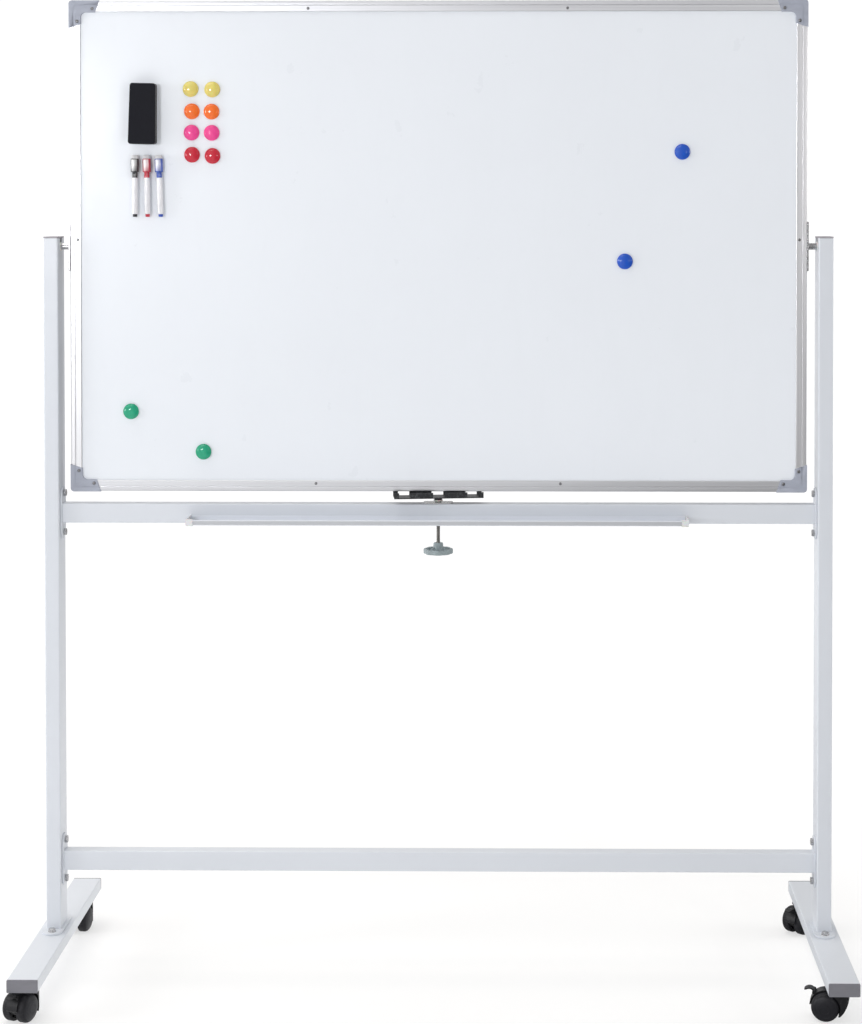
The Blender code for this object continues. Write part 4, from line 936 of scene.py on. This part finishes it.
MARKERS = [("black", (0.030, 0.030, 0.036), -0.6154, 0.0), ("red", (0.530, 0.030, 0.055), -0.5896, -0.9), ("blue", (0.030, 0.085, 0.430), -0.5629, -2.0)]
M["marker_barrel"] = glossy("marker_barrel_plastic", (0.80, 0.80, 0.84))
M["marker_felt"] = felt("marker_tip_felt", (0.60, 0.60, 0.62))
for colour, value, x, tilt in MARKERS:
    # the caps carry the painted white highlight
    M[f"marker_{colour}"] = glossy(f"marker_{colour}_plastic", value, 0.0, True)
    lean = Matrix.Rotation(math.radians(tilt), 4, "Y")
    place = at(x, FACE - 0.0085, 1.5453, lean)
    piece(f"marker_barrel_{colour}", barrel, "marker_barrel", "board", place)
    piece(f"marker_fittings_{colour}", joined([plug, neck_part, cap_part, clip]), f"marker_{colour}", "board", place)
    piece(f"marker_tip_{colour}", tip, "marker_felt", "board", place)

# eraser: a felt block on a thin magnetic back, a little wider at its foot
top, foot_w, height = 0.0262, 0.0282, 0.1235


def rounded(points, radius, steps=6):
    """A polygon with its corners rounded."""
    out = []
    for i, p in enumerate(points):
        a, b, c = Vector(points[i - 1]), Vector(p), Vector(points[(i + 1) % len(points)])
        u, w = (a - b).normalized(), (c - b).normalized()
        half = u.angle(w) / 2
        reach = radius / math.tan(half)
        start, end = b + u * reach, b + w * reach
        centre = b + (u + w).normalized() * (radius / math.sin(half))
        t0 = math.atan2(start.y - centre.y, start.x - centre.x)
        t1 = math.atan2(end.y - centre.y, end.x - centre.x)
        turn = (t1 - t0 + math.pi) % (2 * math.pi) - math.pi
        out += [(centre.x + radius * math.cos(t0 + turn * k / steps), centre.y + radius * math.sin(t0 + turn * k / steps)) for k in range(steps + 1)]
    return out


outline = rounded([(-top, height / 2), (-foot_w, -height / 2), (foot_w, -height / 2), (top, height / 2)], 0.0055)
block = softened(prism(outline, -0.0260, -0.0035, "y"), 0.0024, 4)
inset = [(x * 0.965, z * 0.985) for x, z in outline]
back = softened(prism(inset, -0.0034, -0.0002, "y"), 0.0005, 2)
place = at(-0.5975, FACE, 1.7545, Matrix.Rotation(math.radians(1.2), 4, "Y"))
piece("eraser_felt_block", block, "felt", "board", place)
piece("eraser_magnetic_back", back, "eraser_back", "board", place)

# ------------------------------------------------------------------ stage, light and camera
floor_mesh = bpy.data.meshes.new("floor")
bm = bmesh.new()
bmesh.ops.create_grid(bm, x_segments=1, y_segments=1, size=30)
bm.to_mesh(floor_mesh)
bm.free()
floor = bpy.data.objects.new("floor", floor_mesh)
scene.collection.objects.link(floor)
floor.location.z = cad_low.z - 0.0002
g = Graph("studio_floor")
floor_mesh.materials.append(g.surface(rgb((0.93, 0.93, 0.935)), 0.9, 0.0, **{"Specular IOR Level": 0.05}))
shade = next(n for n in g.tree.nodes if n.type == "BSDF_PRINCIPLED")
output = next(n for n in g.tree.nodes if n.type == "OUTPUT_MATERIAL")
glow = g.add("ShaderNodeEmission", {"Color": (1, 1, 1, 1), "Strength": 1.05})
seen = g.add("ShaderNodeMixShader", {0: g.add("ShaderNodeLightPath").outputs["Is Camera Ray"]})
distance = g.add("ShaderNodeVectorMath", {0: g.coords.outputs["Object"]}, operation="LENGTH").outputs["Value"]
blend = g.add("ShaderNodeMixShader", {0: g.ramp(distance, 0.95, 1.6, 0.55, 1.0)})
g.tree.links.new(shade.outputs[0], blend.inputs[1])
g.tree.links.new(glow.outputs[0], blend.inputs[2])
g.tree.links.new(shade.outputs[0], seen.inputs[1])
g.tree.links.new(blend.outputs[0], seen.inputs[2])
side_x = g.add("ShaderNodeSeparateXYZ", {"Vector": g.coords.outputs["Object"]}).outputs["X"]
sheen = g.add("ShaderNodeEmission", {"Color": (1, 1, 1, 1)})
g.tree.links.new(g.ramp(side_x, -0.3, 1.0, 0.95, 0.20), sheen.inputs["Strength"])
gloss = g.add("ShaderNodeMixShader", {0: g.add("ShaderNodeLightPath").outputs["Is Glossy Ray"]})
g.tree.links.new(seen.outputs[0], gloss.inputs[1])
g.tree.links.new(sheen.outputs[0], gloss.inputs[2])
g.tree.links.new(gloss.outputs[0], output.inputs["Surface"])
floor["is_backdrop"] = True

world = bpy.data.worlds.new("studio")
scene.world = world
world.use_nodes = True
tree = world.node_tree  # white behind the object, soft light around it
tree.nodes.clear()
out = tree.nodes.new("ShaderNodeOutputWorld")
pick = tree.nodes.new("ShaderNodeMixShader")
path = tree.nodes.new("ShaderNodeLightPath")
seen = tree.nodes.new("ShaderNodeBackground")
seen.inputs["Color"].default_value = (1, 1, 1, 1)
seen.inputs["Strength"].default_value = 1.05
fill = tree.nodes.new("ShaderNodeBackground")
fill.inputs["Color"].default_value = (1.0, 0.99, 0.975, 1)
fill.inputs["Strength"].default_value = 0.54
mirrored = tree.nodes.new("ShaderNodeBackground")  # what shiny faces see: brighter to the left than to the right
where = tree.nodes.new("ShaderNodeTexCoord")
split = tree.nodes.new("ShaderNodeSeparateXYZ")
fade = tree.nodes.new("ShaderNodeMapRange")
fade.inputs["From Min"].default_value, fade.inputs["From Max"].default_value = -0.22, 0.14
fade.inputs["To Min"].default_value, fade.inputs["To Max"].default_value = 0.94, 0.42
tree.links.new(where.outputs["Generated"], split.inputs[0])
tree.links.new(split.outputs["X"], fade.inputs["Value"])
tree.links.new(fade.outputs["Result"], mirrored.inputs["Strength"])
mirrored.inputs["Color"].default_value = (1.0, 0.99, 1.0, 1)
lit = tree.nodes.new("ShaderNodeMixShader")
tree.links.new(path.outputs["Is Glossy Ray"], lit.inputs[0])
tree.links.new(fill.outputs[0], lit.inputs[1])
tree.links.new(mirrored.outputs[0], lit.inputs[2])
tree.links.new(path.outputs["Is Camera Ray"], pick.inputs[0])
tree.links.new(lit.outputs[0], pick.inputs[1])
tree.links.new(seen.outputs[0], pick.inputs[2])
tree.links.new(pick.outputs[0], out.inputs["Surface"])


def softbox(name, location, target, width, height, power, color):
    light = bpy.data.lights.new(name, "AREA")
    light.shape = "RECTANGLE"
    light.size, light.size_y = width, height
    light.energy = power
    light.color = color
    obj = bpy.data.objects.new(name, light)
    scene.collection.objects.link(obj)
    obj.location = location
    obj.rotation_euler = (Vector(target) - Vector(location)).to_track_quat("-Z", "Y").to_euler()
    return obj


softbox("key", (-1.95, -4.7, 1.85), (-0.4, 0, 1.3), 0.5, 0.5, 45, (0.96, 0.975, 1.0))
softbox("left", (-5.5, -1.7, 1.8), (0, 0, 1.0), 0.8, 1.0, 62, (0.98, 0.985, 1.0))
softbox("right", (2.8, -3.9, 1.9), (0.2, 0, 1.2), 0.35, 0.35, 15, (1.0, 0.99, 0.97))
softbox("far_right", (4.6, 0.6, 1.6), (0, 0, 1.0), 1.6, 1.6, 52, (1.0, 1.0, 0.975))
softbox("far_left", (-4.6, 0.6, 1.6), (0, 0, 0.8), 1.6, 1.6, 42, (1.0, 1.0, 0.985))
softbox("overhead", (-1.3, 0.3, 4.5), (-0.1, 0, 0.4), 3.2, 3.0, 84, (1.0, 0.955, 0.89))

camera_data = bpy.data.cameras.new("camera")
camera = bpy.data.objects.new("camera", camera_data)
scene.collection.objects.link(camera)
scene.camera = camera
WIDTH, HEIGHT = 862, 1024
FOCAL_PX, CENTRE_X, CENTRE_Y = 2072.99, 495.22, 247.15
camera_data.sensor_width = 36.0
camera_data.lens = FOCAL_PX / HEIGHT * 36.0
camera_data.shift_x = (WIDTH / 2 - CENTRE_X) / HEIGHT
camera_data.shift_y = (CENTRE_Y - HEIGHT / 2) / HEIGHT
camera_data.clip_start, camera_data.clip_end = 0.05, 100
camera.location = (0.17215, -4.21894, 1.57698)
turn = Matrix.Rotation(0.01319, 4, "Z") @ Matrix.Rotation(-0.02215, 4, "X") @ Matrix.Rotation(0.0002, 4, "Y")
camera.rotation_euler = (turn @ Matrix.Rotation(math.radians(90), 4, "X")).to_euler()
for path in ("shift_x", "shift_y"):  # the lens shift belongs to this standpoint; from any other, the object is centred
    shift = getattr(camera_data, path)
    driver = camera_data.driver_add(path).driver
    driver.type = "SCRIPTED"
    where = driver.variables.new()
    where.name = "y"
    where.type = "TRANSFORMS"
    where.targets[0].id = camera
    where.targets[0].transform_type = "LOC_Y"
    where.targets[0].transform_space = "WORLD_SPACE"
    driver.expression = f"{shift:.6f} if abs(y + {-camera.location.y:.5f}) < 0.002 else 0.0"

scene.view_settings.view_transform = "Standard"

low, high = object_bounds()
